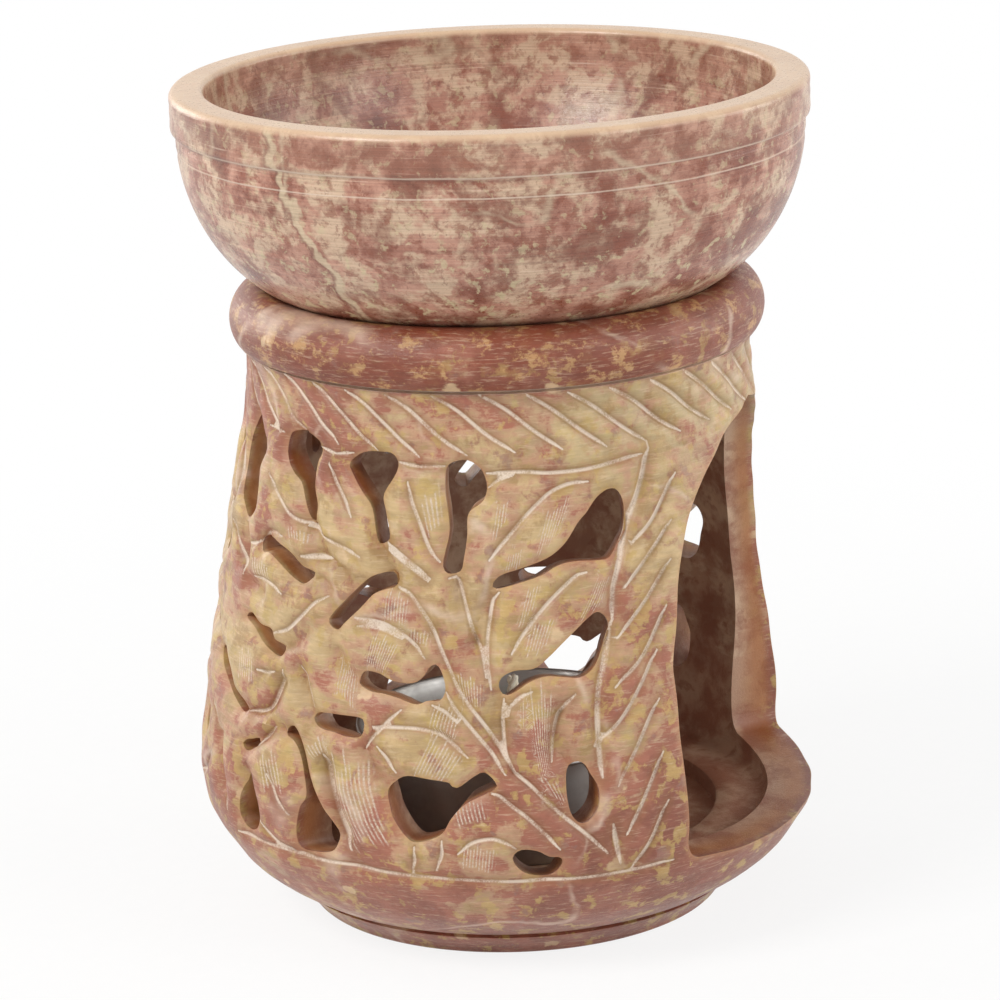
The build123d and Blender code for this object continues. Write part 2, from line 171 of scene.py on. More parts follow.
# Right halves of the openings across the middle of the back: degrees and heights.
BACK_OPENINGS = {
    "back_drop": [(0, 61.5), (3.3, 60.79), (4.675, 57.94), (2.475, 53.9), (1.51, 51.05), (0, 50.34)],
    "back_eye": [(0, 44.4), (2.75, 42.5), (2.2, 38.7), (0, 36.8)],
    "back_leaf": [(0, 30.15), (3.575, 27.3), (4.125, 23.03), (1.925, 19.23), (0, 18.28)],
}

# Lines cut with the narrow gouge on the photographed panel.
CARVED_LINES = [
    # border above the leaves
    [(-38, 61.3), (-34, 61.6)],
    [(-23, 61.1), (-18, 60.8), (-12.4, 60.9)],
    [(-3.4, 60.1), (0, 60.1), (5, 60.1), (10, 59.8), (17, 59.8), (25, 60.2), (31, 60.6)],
    [(-62, 62.4), (-56, 62.2)], [(-43.4, 61.6), (-40, 61.3), (-38, 61.3)],
    # border below the leaves
    [(-62, 13.7), (-54, 14.0), (-45, 14.3), (-38, 14.1), (-30, 14.4), (-25, 14.1), (-15, 13.9),
     (-5, 13.6), (3, 13.4), (10, 13.4), (20, 13.5), (29, 13.9)],
    # ribs of the upper leaves
    [(-40, 60), (-38, 58), (-35.5, 56.4), (-33, 54.5)],
    [(-20.3, 59), (-19.5, 57), (-17.5, 54.4), (-15.2, 51.6), (-13.2, 50.2)],
    [(-3.3, 50.5), (-1, 52), (1, 53.2), (4, 55), (7, 56.5), (10, 57.7), (14, 58.4), (18, 58.5)],
    [(-3, 58.5), (-1, 59.3), (2, 59.8)],
    [(-60, 57), (-57, 55.5), (-54, 54.2), (-51, 53.3), (-47, 52.8), (-43, 52.5), (-40, 51.8)],
    # branches and the trunk
    [(-45, 52.5), (-40, 51.5), (-35, 50.9), (-30.5, 50.2)],
    [(-25, 52), (-20, 50.3), (-17.5, 49.3), (-15, 48.4)],
    [(-24.5, 51.1), (-19.5, 49.5), (-15.5, 48.1)],
    [(-22.3, 47.2), (-19.5, 46.6), (-17, 45), (-14.5, 42.8), (-12.5, 40), (-10.5, 37.2),
     (-8.5, 35), (-5, 32), (-2, 29), (0.5, 26.6)],
    [(-11.4, 48.4), (-9.6, 48.3), (-8, 45), (-6.6, 42), (-5, 40), (-4.3, 37.4)],
    [(-12, 35.6), (-10, 33.6), (-7, 31.4), (-4, 29), (-1.4, 26.4)],
    [(-14.6, 34.1), (-12, 33.4), (-9.8, 32.3)],
    [(-61, 48.9), (-57, 50.5), (-52, 50.6)], [(-66, 48), (-63, 48.4), (-60.5, 48.9)],
    # ribs and edges of the middle leaves
    [(-31, 43.2), (-25, 43), (-21, 42.1), (-18, 40.8), (-16, 39.4)],
    [(-30, 42.4), (-25, 42.3), (-20.5, 41.5)],
    [(0.5, 40), (2.5, 41.8), (5, 43.6), (8, 45.5), (11, 47), (14, 48.2), (16, 48.5)],
    [(-3.5, 36), (-4, 38.5), (-4, 41.5), (-3.4, 44), (-2.7, 45.9), (-1.5, 46.8)],
    [(-61, 44.8), (-55, 44.8), (-50, 44.2)],
    [(-52, 39.3), (-48, 40.2), (-44.5, 42), (-41, 44), (-38, 45)],
    [(-20.5, 33.4), (-23, 32), (-26, 29.9), (-28, 28.3)],
    [(-26, 31.2), (-22, 31.3), (-17, 31.4), (-13, 30.9), (-10, 29.5), (-8, 28.4)],
    [(-25, 29), (-23, 27.6), (-21.2, 26.2)],
    [(-56, 34.5), (-53, 34.5), (-50.5, 35)],
    [(-58.9, 29), (-55, 29.5), (-52, 30.5), (-49.5, 33), (-48, 35.5)],
    [(-43, 36.6), (-41.5, 34), (-39.6, 32.2)],
    # ribs and edges of the lower leaves
    [(-1.2, 34.8), (-1.5, 33), (-1.4, 30), (-1, 28.3), (0.5, 26.5), (3, 25), (6, 22.9),
     (9, 20.9), (13, 18.5), (16, 16.4)],
    [(-0.5, 33), (0, 34), (2, 35), (4, 35.6)],
    [(12, 35), (10, 33.8), (8.5, 32.3), (7.5, 30), (7, 27.6)],
    [(-4.3, 24.2), (-2.5, 23.9), (-0.5, 22.8), (2, 21.5), (5, 19.5), (7.7, 17.4)],
    [(-10, 17.2), (-8, 18.3), (-6, 18.8), (-3.5, 18.9), (-1, 18.2), (0, 17.7)],
    [(-18, 17.6), (-18, 16), (-18.5, 14.5)], [(-12.9, 18.6), (-13, 17), (-14, 15.1)],
    [(-54.3, 25.6), (-52.5, 27), (-50, 28.4)], [(-50, 23), (-47, 20.2), (-44, 19)],
    [(-52.8, 16.9), (-48, 14.9), (-44, 14.8)],
    # towards the back
    [(-80, 60.5), (-78, 56), (-78.5, 51.5)], [(-100, 58.5), (-96, 56), (-92, 51.5), (-88, 49)],
    [(-76, 49.5), (-70, 47.2), (-66, 44.4)], [(-98, 41.5), (-91, 41.8), (-84, 41.8), (-77, 40.2)],
    [(-99, 33.5), (-93, 31), (-87, 30.8), (-80, 29.3)], [(-97, 22.5), (-94, 19.5), (-90, 16.6)],
    [(-75, 27.5), (-70, 24.5), (-66, 20), (-64.5, 16)], [(-84, 17), (-78, 18.5), (-73, 21.5)],
]

# Deeper lines of the wide gouge.
BOLD_LINES = [
    # border beside the door
    [(33, 61.2), (31, 58), (27, 54), (23.6, 49.6), (21.3, 46.4), (20.5, 42.8)],
    [(20.2, 42.4), (18.4, 38.2), (17, 36), (16.3, 34), (15.9, 31), (15.9, 27), (16, 25.2)],
    [(17.3, 19.7), (18, 17), (18.6, 14.8)],
    # hollows that set the leaves off from the wood between them
    [(-45.5, 49), (-41.5, 49.2), (-38.3, 49.2)],
    [(-36.5, 27), (-35.5, 24), (-34, 21.4), (-32, 18.4), (-30, 16.4)],
]

# Wide hollows from the tips of the openings along the leaves, which lift the leaves' middles.
SCOOPS = [
    [(-69, 50.6), (-67, 47.5), (-66, 44.4)], [(-78, 52), (-84, 50.5), (-90, 50)],
    [(-44.8, 53.1), (-41, 50.4), (-37, 48.8), (-32, 47.6)],
    [(-42, 47.2), (-38.4, 46.2), (-36.4, 44.2)], [(-48.8, 38), (-45, 39.4), (-40.6, 41.8)],
    [(-59.3, 29.2), (-54, 29.4), (-50, 31.6), (-47, 35.4)], [(-54.4, 26), (-50, 28), (-46, 29)],
    [(-36.6, 27.4), (-35.4, 23.6), (-33, 20), (-30, 16.8)], [(-39.7, 30.8), (-42.4, 33.6), (-44, 37)],
    [(-29.7, 35.8), (-33.4, 37.4), (-36.6, 40.6)], [(-23, 23.9), (-26.4, 26.8), (-29.4, 29.4)],
    [(-10, 49), (-9.8, 46), (-8.6, 42.4)], [(-2.8, 47.4), (-5.6, 43.6), (-6.6, 39.4)],
    [(-2.1, 36.2), (-3, 32.4), (-1, 28)], [(-27, 52), (-24, 49.4), (-20.6, 47)],
    [(9.7, 26.4), (8.4, 30), (9, 34)], [(-58, 22.8), (-57, 20.4), (-54.6, 16.6)],
    [(-66, 44.4), (-61, 43.4), (-55, 43)], [(-76, 33.7), (-80, 36), (-84, 36)],
    [(-70, 26), (-68, 21.6), (-66, 17)],
]

# Slanted strokes beside the door, from the lower left to the upper right.
DOOR_STROKES = [
    [(26.3, 50.9), (32, 53.4), (39, 57.8)], [(23.5, 46.2), (29, 48.9), (36.2, 52.7)],
    [(21.2, 40.7), (27, 43.9), (34.6, 48.4)], [(19.8, 35.2), (26, 38.2), (32.2, 43.4)],
    [(15, 28.8), (21.5, 32.2), (28.8, 38.6)], [(18.7, 24), (22.5, 27.5), (28.2, 33.1)],
    [(19.7, 18.3), (23.5, 22), (28.1, 27)], [(20.6, 13.9), (23.8, 16.5), (28, 21.4)],
]
# One slanted stroke of the band under the collar, repeated all the way round.
BAND_STROKE = [(0, 69.0), (6, 67.0), (12.5, 64.2), (18, 62.2)]
BAND_STROKES = 36

# Shading on the leaves: the first stroke of a bundle, its last one and how many it has.
SHADING = [
    ([(-24, 46.4), (-24.2, 43.6)], [(-19.6, 45.8), (-19.9, 43.2)], 6),
    ([(-26.4, 41.4), (-27.6, 38.1)], [(-21.6, 40.6), (-23.9, 37.7)], 7),
    ([(-18.6, 42.6), (-18.9, 41.2)], [(-15.4, 42.2), (-15.7, 41)], 4),
    ([(-14, 34), (-14.8, 32)], [(-9.6, 33.2), (-10.6, 30.9)], 6),
    ([(-14.6, 30.4), (-17.6, 26.4)], [(-9.4, 28.4), (-12, 25.8)], 7),
    ([(-9.6, 37.6), (-8.8, 34.8)], [(-5.4, 36.6), (-5.6, 34.2)], 6),
    ([(-10.6, 22.4), (-9.6, 20.6)], [(-5.8, 23.4), (-5.2, 21.6)], 6),
    ([(-8.8, 18), (-9.2, 15.8)], [(-3.8, 17.6), (-4.3, 15.2)], 7),
    ([(-35.2, 27), (-33.8, 23), (-31.4, 19), (-28.8, 16.6)],
     [(-27.4, 27.6), (-26.4, 24.4), (-24.4, 20.8), (-22, 18)], 7),
    ([(-40.5, 27.2), (-38.8, 26.4)], [(-37, 29), (-36, 27.4)], 4),
    ([(-34, 38.4), (-33.6, 35)], [(-30.6, 36.8), (-30.2, 33.2)], 5),
    ([(3.2, 35), (4, 29.6), (5.2, 24.8)], [(7.6, 35.8), (6.7, 30), (6.9, 25.4)], 6),
    ([(5.6, 25), (7, 23.6)], [(7.4, 25.4), (8.8, 22.9)], 3),
    ([(1.8, 34), (1.7, 32)], [(2.8, 34.4), (2.6, 31.4)], 2),
    ([(6.4, 51.2), (8.6, 55)], [(10.8, 53.4), (13.6, 56.9)], 5),
    ([(0, 49.3), (0.6, 50.9)], [(2.6, 49.8), (3.1, 51.5)], 4),
    ([(3, 40), (4.6, 43)], [(6.8, 40.6), (8.6, 43.4)], 5),
    ([(2.2, 43.2), (4, 46.6)], [(4.6, 44.6), (6, 47.4)], 3),
    ([(14.2, 43.6), (17.6, 47.2)], [(17.8, 44.6), (20.2, 47.4)], 4),
    ([(-2.4, 53), (-1.4, 56)], [(0, 54.6), (0.8, 57)], 3),
    ([(-17, 56.6), (-15.6, 53.6)], [(-14.4, 58), (-13.4, 54.4)], 3),
    ([(-50, 51.9), (-49.4, 50.9)], [(-44.6, 51.6), (-44.2, 50.6)], 5),
    ([(-63, 35.6), (-62.4, 33)], [(-58, 35.8), (-57.6, 33)], 5),
    ([(-62, 46.8), (-61, 45.2)], [(-56, 46.6), (-55.2, 45.2)], 5),
    ([(-52, 24.4), (-50.6, 21.4)], [(-48, 25.4), (-46, 21.8)], 4),
    ([(-90, 43.4), (-89, 42.2)], [(-83, 43.6), (-82.4, 42.2)], 6),
    ([(-88, 33.6), (-87, 31.4)], [(-82, 33.4), (-81.2, 31)], 5),
]

# The bundles are drawn this share longer at both ends, with this many times the strokes.
SHADING_LONGER = 0.25
SHADING_DENSER = 1.4
# A bundle takes in the points this near its grid. It ends a share of its strokes' length past
# their ends and a share of a stroke beside the outer ones, and fades over a share of a stroke.
SHADING_REACH = 0.12
SHADING_PAST = 0.12
SHADING_BESIDE = 0.75
SHADING_FADE = 0.4

# Heights between which the body's outside and the hollow's wall are laid out as sheets.
WALL_LOW = 8.02
WALL_HIGH = 69.1
HOLLOW_LOW = 11.5
HOLLOW_HIGH = 67.96
# The skin is what lies less deep than this share of the wall, outside the throat.
SKIN_DEPTH = 0.02
THROAT_RADIUS = 26
# Points round every turned part of the stand.
ROUND_STEPS = 360
# Distances between points: along carved lines, from these, from their sides, beside openings,
# in the hollow, and from the rims of a sheet.
LINE_SPACING = 0.42
LINE_CLEARANCE = 0.26
SIDE_CLEARANCE = 0.24
EDGE_CLEARANCE = 0.32
HOLLOW_SPACING = 1.6
RIM_MARGIN = 0.25
# The hand-dressed wall's unevenness: waves round it, their turn with the height, and their start.
WALL_WAVES = ((5, 0.21, 0.0), (11, -0.37, 1.3), (23, 0.62, 2.1), (31, -0.9, 0.4))
# How deep the wall is uneven, and its edges are worn and rolled.
WALL_UNEVENNESS = 0.34
WALL_WEAR = 0.15
WALL_ROLL = 0.55
HOLLOW_WEAR = 0.12
# Rows of faces through the wall of an opening, and how far its lower edge falls inwards.
OPENING_ROWS = 7
EDGE_FALL = 1.0

# Radii and heights of the stand's turned parts, each in the order of its outline.
FOOT = [
    (0, 0), (8, 0), (18, 0), (24.2, 0), (24.7, 0), (25.0, 0.1), (25.2, 0.3), (25.3, 0.6),
    (26.3, 1.65), (27.3, 2.7), (27.4, 2.85), (27.2, 2.95), (26.9, 3.15), (27.3, 3.35)]
ABOVE_FOOT = (3.62, 4.2, 4.85, 5.58, 6.3, 7.1)
NECK = [(30.1, 69.15), (29.65, 69.3), (29.6, 69.45)]
COLLAR_MIDDLE = (28.15, 72.4)
COLLAR_HALF_WIDTH = 3.62
COLLAR_HALF_HEIGHT = 3.98
COLLAR_LOW = 69.7
COLLAR_END = 137
THROAT = [(25.6, 74.2), (25.6, 73), (25.6, 71.96), (25.9, 70.7), (26.3, 69.3)]
LEDGE_AND_RECESS = [
    (30.7, 10.95), (30.2, 10.62), (29.7, 10.5), (27, 10.5), (25.1, 10.5), (24.8, 10.3),
    (24.8, 9.3), (24.8, 8.2), (24.5, 8), (18, 8), (10, 8), (0, 8)]

# The unrolled wall is as wide as the wall is round at this radius.
UNROLLED_RADIUS = 35.0
ROUND = 2 * math.pi * UNROLLED_RADIUS / 360


def outline(points):
    """Smooth radius at any height, through (height, radius) points, with no overshoot."""
    z, r = (np.array(values, float) for values in zip(*points))
    step = np.diff(z)
    slope = np.diff(r) / step
    tangent = np.concatenate(([slope[0]], np.zeros(len(z) - 2), [slope[-1]]))
    for k in range(1, len(z) - 1):
        if slope[k - 1] * slope[k] > 0:
            tangent[k] = 2 * slope[k - 1] * slope[k] / (slope[k - 1] + slope[k])

    def at(height):
        height = np.asarray(height, float)
        k = np.clip(np.searchsorted(z, height, side="right") - 1, 0, len(z) - 2)
        t = (height - z[k]) / step[k]
        return (
            (1 + 2 * t) * (1 - t) ** 2 * r[k]
            + t * (1 - t) ** 2 * step[k] * tangent[k]
            + t * t * (3 - 2 * t) * r[k + 1]
            + t * t * (t - 1) * step[k] * tangent[k + 1]
        )

    return at


body_at = outline(BODY)
hollow_at = outline(HOLLOW)


def through(points, closed, steps=8):
    """Points of a smooth curve that passes through the given ones."""
    p = np.array(points, float)
    count = len(p)
    out = []
    for k in range(count if closed else count - 1):
        if closed:
            a, b, c, d = (p[(k + n) % count] for n in (-1, 0, 1, 2))
        else:
            b, c = p[k], p[k + 1]
            a = p[k - 1] if k else 2 * b - c
            d = p[k + 2] if k + 2 < count else 2 * c - b
        for s in range(steps):
            t = s / steps
            out.append(0.5 * (2 * b + (c - a) * t + (2 * a - 5 * b + 4 * c - d) * t * t
                              + (3 * b - a - 3 * c + d) * t ** 3))
    if not closed:
        out.append(p[-1])
    return np.array(out)


def evenly(points, closed, spacing):
    """The same line with evenly spaced points."""
    p = np.vstack((points, points[:1])) if closed else np.asarray(points, float)
    run = np.concatenate(([0], np.cumsum(np.hypot(*np.diff(p, axis=0).T))))
    count = max(2, round(run[-1] / spacing))
    at = np.linspace(0, run[-1], count + 1)
    line = np.column_stack((np.interp(at, run, p[:, 0]), np.interp(at, run, p[:, 1])))
    return line[:-1] if closed else line


def unrolled(degrees_heights):
    """Azimuths from the door's middle and heights as points of the unrolled wall."""
    return np.array([(degrees * ROUND, height) for degrees, height in degrees_heights], float)


def near_side(points):
    """Places on the photographed side, as azimuths from the door's middle."""
    return [(degrees + 360 - DOOR_TURN, height) for degrees, height in points]


def far_side(points, shift=(0, 0)):
    """The same carving mirrored on the far side of the door."""
    return [(DOOR_TURN - degrees + shift[0], height + shift[1]) for degrees, height in points]


def anticlockwise(loop):
    """The closed outline, turned round where it runs clockwise."""
    x, z = loop.T
    area = np.sum(x * np.roll(z, -1) - np.roll(x, -1) * z)
    return loop if area > 0 else loop[::-1]


def opening_loops(spacing):
    """Closed outlines of all openings on the unrolled outside."""
    drawn = []
    for name, points in OPENINGS.items():
        drawn.append(near_side(points))
        drawn.append(far_side(points, FAR_SHIFTS.get(name, (0, 0))))
    for half in BACK_OPENINGS.values():
        whole = half + [(-degrees, height) for degrees, height in reversed(half[1:-1])]
        drawn.append([(180 + degrees, height) for degrees, height in whole])
    return [anticlockwise(evenly(through(unrolled(p), True), True, spacing)) for p in drawn]


def door_half(spacing):
    """Right half of the door's outline, from the middle of the sill to the arch's crown."""
    edge = math.tan(math.radians(DOOR_HALF))
    corner = DOOR_CORNER / 31.0
    sill = []
    for step in range(15):
        across = (edge - corner) * step / 14
        dip = DOOR_SILL_DIP * (1 - (step / 14) ** 2)
        sill.append((math.degrees(math.atan(across)), DOOR_SILL - dip))
    for step in range(1, 9):
        angle = math.radians(90 * step / 8 - 90)
        across = edge - corner + corner * math.cos(angle)
        sill.append((math.degrees(math.atan(across)),
                     DOOR_SILL + DOOR_CORNER + DOOR_CORNER * math.sin(angle)))
    arch = [(share * DOOR_HALF, height) for share, height in DOOR_ARCH]
    above = through([(DOOR_HALF, 2 * arch[0][1] - arch[1][1])] + arch, False)
    above = above[above[:, 1] >= arch[0][1]]
    line = np.vstack((unrolled(sill), unrolled(above)))
    return evenly(line, False, spacing)


def inner_loop(loop):
    """An opening's outline where its walls come out in the hollow, with a lower edge that falls."""
    azimuth = np.radians(loop[:, 0] / ROUND)
    middle = azimuth.mean()
    ratio = body_at(loop[:, 1]) / hollow_at(loop[:, 1])
    turned = middle + np.arcsin(np.clip(ratio * np.sin(azimuth - middle), -1, 1))
    low, high = loop[:, 1].min(), loop[:, 1].max()
    fall = np.clip((low + high - 2 * loop[:, 1]) / (high - low), 0, 1) ** 0.7
    return np.column_stack((np.degrees(turned) * ROUND, loop[:, 1] - EDGE_FALL * fall))


def inside(points, loop):
    """Which points lie inside a closed outline."""
    hit = np.zeros(len(points), bool)
    low, high = loop.min(axis=0), loop.max(axis=0)
    near = np.flatnonzero(np.all((points > low) & (points < high), axis=1))
    x, z = points[near].T
    odd = np.zeros(len(near), bool)
    for (ax, az), (bx, bz) in zip(loop, np.roll(loop, -1, axis=0)):
        if az != bz:
            crosses = (az > z) != (bz > z)
            odd ^= crosses & (x < ax + (z - az) * (bx - ax) / (bz - az))
    hit[near] = odd
    return hit


def search_tree(places):
    """A tree that finds the nearest of these places on the unrolled wall."""
    tree = KDTree(len(places))
    for k, (x, z) in enumerate(places):
        tree.insert((x, z, 0), k)
    tree.balance()
    return tree


def clear_of(points, taken, distance):
    """The points that keep a distance from all taken ones."""
    tree = search_tree(taken)
    return np.array([p for p in points if tree.find((p[0], p[1], 0))[2] >= distance]).reshape(-1, 2)


def stroke_lines():
    """All carving on the unrolled wall, in three kinds: narrow lines, bold lines and scoops."""
    narrow, bold, scoops = [], [], []
    for side in (near_side, far_side):
        narrow += [unrolled(side(line)) for line in CARVED_LINES + DOOR_STROKES]
        bold += [unrolled(side(line)) for line in BOLD_LINES]
        scoops += [unrolled(side(line)) for line in SCOOPS]
    for k in range(BAND_STROKES):
        turn = 360 * k / BAND_STROKES
        sway = 0.5 * math.sin(7 * k)
        narrow.append(unrolled([(turn + degrees + sway, height + 0.25 * math.sin(5 * k + degrees))
                                for degrees, height in BAND_STROKE]))
    return narrow, bold, scoops


def smooth_line(line, spacing):
    """A smooth, evenly spaced line through the given points."""
    return evenly(through(line, False), False, spacing)


def beside(loops, distances):
    """Points that go along closed outlines at distances outside them."""
    found = []
    for loop in loops:
        along = np.roll(loop, -1, axis=0) - np.roll(loop, 1, axis=0)
        along /= np.hypot(*along.T)[:, None]
        outwards = np.column_stack((along[:, 1], -along[:, 0]))
        for distance in distances:
            found.append(loop + outwards * distance)
    return np.vstack(found)


def bundle_grid(first, last, count):
    """Places on the wall for the stroke numbers and the lengths along one shading bundle."""
    numbers = np.linspace(-1.5, count + 0.5, 16 * (count + 2) + 1)
    lengths = np.linspace(-0.3, 1.3, 97)
    ends = []
    for line in (first, last):
        known = np.linspace(0, 1, len(line))
        along = np.clip(lengths, 0, 1)
        place = np.column_stack([np.interp(along, known, line[:, k]) for k in (0, 1)])
        past = (lengths - along)[:, None] * (len(line) - 1)
        place += np.where(past < 0, line[1] - line[0], line[-1] - line[-2]) * past
        ends.append(place)
    share = (numbers / (count - 1))[:, None, None]
    grid = ends[0][None] * (1 - share) + ends[1][None] * share
    values = np.stack(np.meshgrid(numbers, lengths, indexing="ij"), axis=-1)
    return grid.reshape(-1, 2), values.reshape(-1, 2)


def drawn_out(stroke, share):
    """The stroke with both of its ends longer by a share of their last leg."""
    (ax, ay), (bx, by) = stroke[0], stroke[1]
    (cx, cy), (dx, dy) = stroke[-1], stroke[-2]
    start = (ax + share * (ax - bx), ay + share * (ay - by))
    end = (cx + share * (cx - dx), cy + share * (cy - dy))
    return [start] + list(stroke[1:-1]) + [end]


def read_values(rows, label, width, kind=float):
    """A value of each row of a mesh's data, as an array."""
    values = np.empty(len(rows) * width, kind)
    rows.foreach_get(label, values)
    return values.reshape(-1, width)


def write_values(mesh, label, values, kind="FLOAT"):
    """Writes a number or a vector for each point of a mesh."""
    layer = mesh.attributes.new(label, kind, "POINT")
    flat = np.asarray(values, np.float32).reshape(-1)
    layer.data.foreach_set("value" if kind == "FLOAT" else "vector", flat)


def mark_wall(mesh):
    """Writes on the wall each point's place before any carving, and where shading strokes go.

    A shading stroke is drawn from its number, the way along it, and a mask.
    """
    places = read_values(mesh.vertices, "co", 3)
    x, y, z = (places / MM).T
    depth = read_values(mesh.attributes["depth"].data, "value", 1, np.float32)[:, 0]
    flat = np.column_stack((np.degrees(np.arctan2(x, -y)) % 360 * ROUND, z))
    outer = (depth < SKIN_DEPTH) & (np.hypot(x, y) > THROAT_RADIUS)
    uncut = places.copy()
    uncut[outer, :2] *= (body_at(z) / np.hypot(x, y).clip(0.1))[outer, None]
    write_values(mesh, "uncut", uncut, "FLOAT_VECTOR")
    found = np.zeros((len(places), 3))
    for side in (near_side, far_side):
        for first, last, strokes in SHADING:
            first, last = drawn_out(first, SHADING_LONGER), drawn_out(last, SHADING_LONGER)
            strokes = round(strokes * SHADING_DENSER)
            grid, values = bundle_grid(unrolled(side(first)), unrolled(side(last)), strokes)
            low, high = grid.min(axis=0), grid.max(axis=0)
            near = np.flatnonzero(outer & np.all((flat > low) & (flat < high), axis=1))
            if len(near) == 0:
                continue
            tree = search_tree(grid)
            for k in near:
                _, hit, gap = tree.find((flat[k, 0], flat[k, 1], 0))
                number, way = values[hit]
                edge = min(number + SHADING_BESIDE, strokes - 1 + SHADING_BESIDE - number,
                           6 * (way + SHADING_PAST), 6 * (1 + SHADING_PAST - way))
                here = min(1.0, max(0.0, edge / SHADING_FADE))
                if gap < SHADING_REACH and here >= found[k, 2]:
                    found[k] = (number, way, here)
    for column, label in enumerate(("hatch_number", "hatch_way", "hatch_here")):
        write_values(mesh, label, found[:, column])


class Shell:
    """Points, triangles and point values of a mesh that is put together piece by piece."""

    def __init__(self):
        self.points, self.faces, self.depth, self.edge = [], [], [], []
        self.count = 0

    def add_points(self, points, depth=0.0, edge=0.0):
        points = np.asarray(points, float)
        self.points.append(points)
        self.depth.append(np.broadcast_to(depth, len(points)).astype(float))
        self.edge.append(np.broadcast_to(edge, len(points)).astype(float))
        self.count += len(points)
        return np.arange(self.count - len(points), self.count)

    def add_faces(self, faces):
        self.faces.append(np.asarray(faces, int).reshape(-1, 3))

    def strip(self, first, second, closed=True):
        """Faces between two rows of points. Seen from outside, the second row is above."""
        a, b = first, second
        a2, b2 = np.roll(a, -1), np.roll(b, -1)
        if not closed:
            a, b, a2, b2 = a[:-1], b[:-1], a2[:-1], b2[:-1]
        self.add_faces(np.column_stack((a, a2, b2)))
        self.add_faces(np.column_stack((a, b2, b)))

    def mesh(self, name):
        """The joined mesh in metres, with its doubles merged."""
        points = np.vstack(self.points)
        faces = np.vstack(self.faces)
        keys = np.round(points / 1e-4).astype(np.int64)
        _, first, same = np.unique(keys, axis=0, return_index=True, return_inverse=True)
        faces = same.reshape(-1)[faces]
        a, b, c = faces.T
        faces = faces[(a != b) & (b != c) & (a != c)]
        out = bpy.data.meshes.new(name)
        out.from_pydata((points[first] * MM).tolist(), [], faces.tolist())
        for label, values in (("depth", self.depth), ("worn", self.edge)):
            write_values(out, label, np.concatenate(values)[first])
        out.update()
        return out


def round_wall(unrolled_points, radius):
    """Points of the unrolled wall put round the axis at their radii."""
    angle = np.radians(unrolled_points[:, 0] / ROUND)
    return np.column_stack((radius * np.sin(angle), -radius * np.cos(angle), unrolled_points[:, 1]))


def hand_unevenness(points, amount):
    """How far the hand-dressed wall lies under its outline, never above it."""
    turn = np.radians(points[:, 0] / ROUND)
    z = points[:, 1]
    waves = sum(np.sin(round_it * turn + up * z + start) for round_it, up, start in WALL_WAVES)
    return amount * (0.5 + waves / (2 * len(WALL_WAVES)))


def row_of(x, z):
    """Points of the unrolled wall from places across and up. One of the two may be a number."""
    return np.column_stack(np.broadcast_arrays(x, z)).astype(float)


def sheet_border(loops, halves, low, high, spacing):
    """Fixed points and edges of a sheet, and which of them are its rims, doors and loops."""
    width = 360 * ROUND
    across = np.linspace(0, width, ROUND_STEPS + 1)
    sill, crown = halves[0][0, 1], halves[0][-1, 1]
    below = np.linspace(low, sill, max(2, round((sill - low) / spacing) + 1))[1:-1]
    above = np.linspace(crown, high, max(2, round((high - crown) / spacing) + 1))[1:-1]
    fixed, edges = [], []

    def keep(points, closed=False, ends=None):
        start = sum(len(p) for p in fixed)
        ids = list(range(start, start + len(points)))
        fixed.append(points)
        chain = ids if ends is None else [ends[0]] + ids + [ends[1]]
        edges.extend(zip(chain[:-1], chain[1:]))
        if closed:
            edges.append((ids[-1], ids[0]))
        return ids

    rim_low = keep(row_of(across, low))
    rim_high = keep(row_of(across, high))
    doors = [keep(half) for half in halves]
    for door, side, x in zip(doors, (0, -1), (0, width)):
        keep(row_of(x, below), ends=(rim_low[side], door[0]))
        keep(row_of(x, above), ends=(door[-1], rim_high[side]))
    rims = [keep(loop, closed=True) for loop in loops]
    return np.vstack(fixed), edges, (rim_low, rim_high, doors, rims)


def sheet_filling(fixed, extra, low, high, spacing):
    """The fixed points, the extra ones that are clear of them, and even rows between all."""
    width = 360 * ROUND
    least, most = (RIM_MARGIN, low + RIM_MARGIN), (width - RIM_MARGIN, high - RIM_MARGIN)
    free = [fixed]
    for points, clearance in extra:
        points = points[np.all((points > least) & (points < most), axis=1)]
        free.append(clear_of(points, np.vstack(free), clearance))
    rows = []
    for k, z in enumerate(np.arange(low + spacing * 0.8, high - spacing * 0.5, spacing * 0.87)):
        first = spacing * (0.75 if k % 2 else 1.25)
        rows.append(row_of(np.arange(first, width - spacing * 0.5, spacing), z))
    free.append(clear_of(np.vstack(rows), np.vstack(free), spacing * 0.62))
    return np.vstack(free)


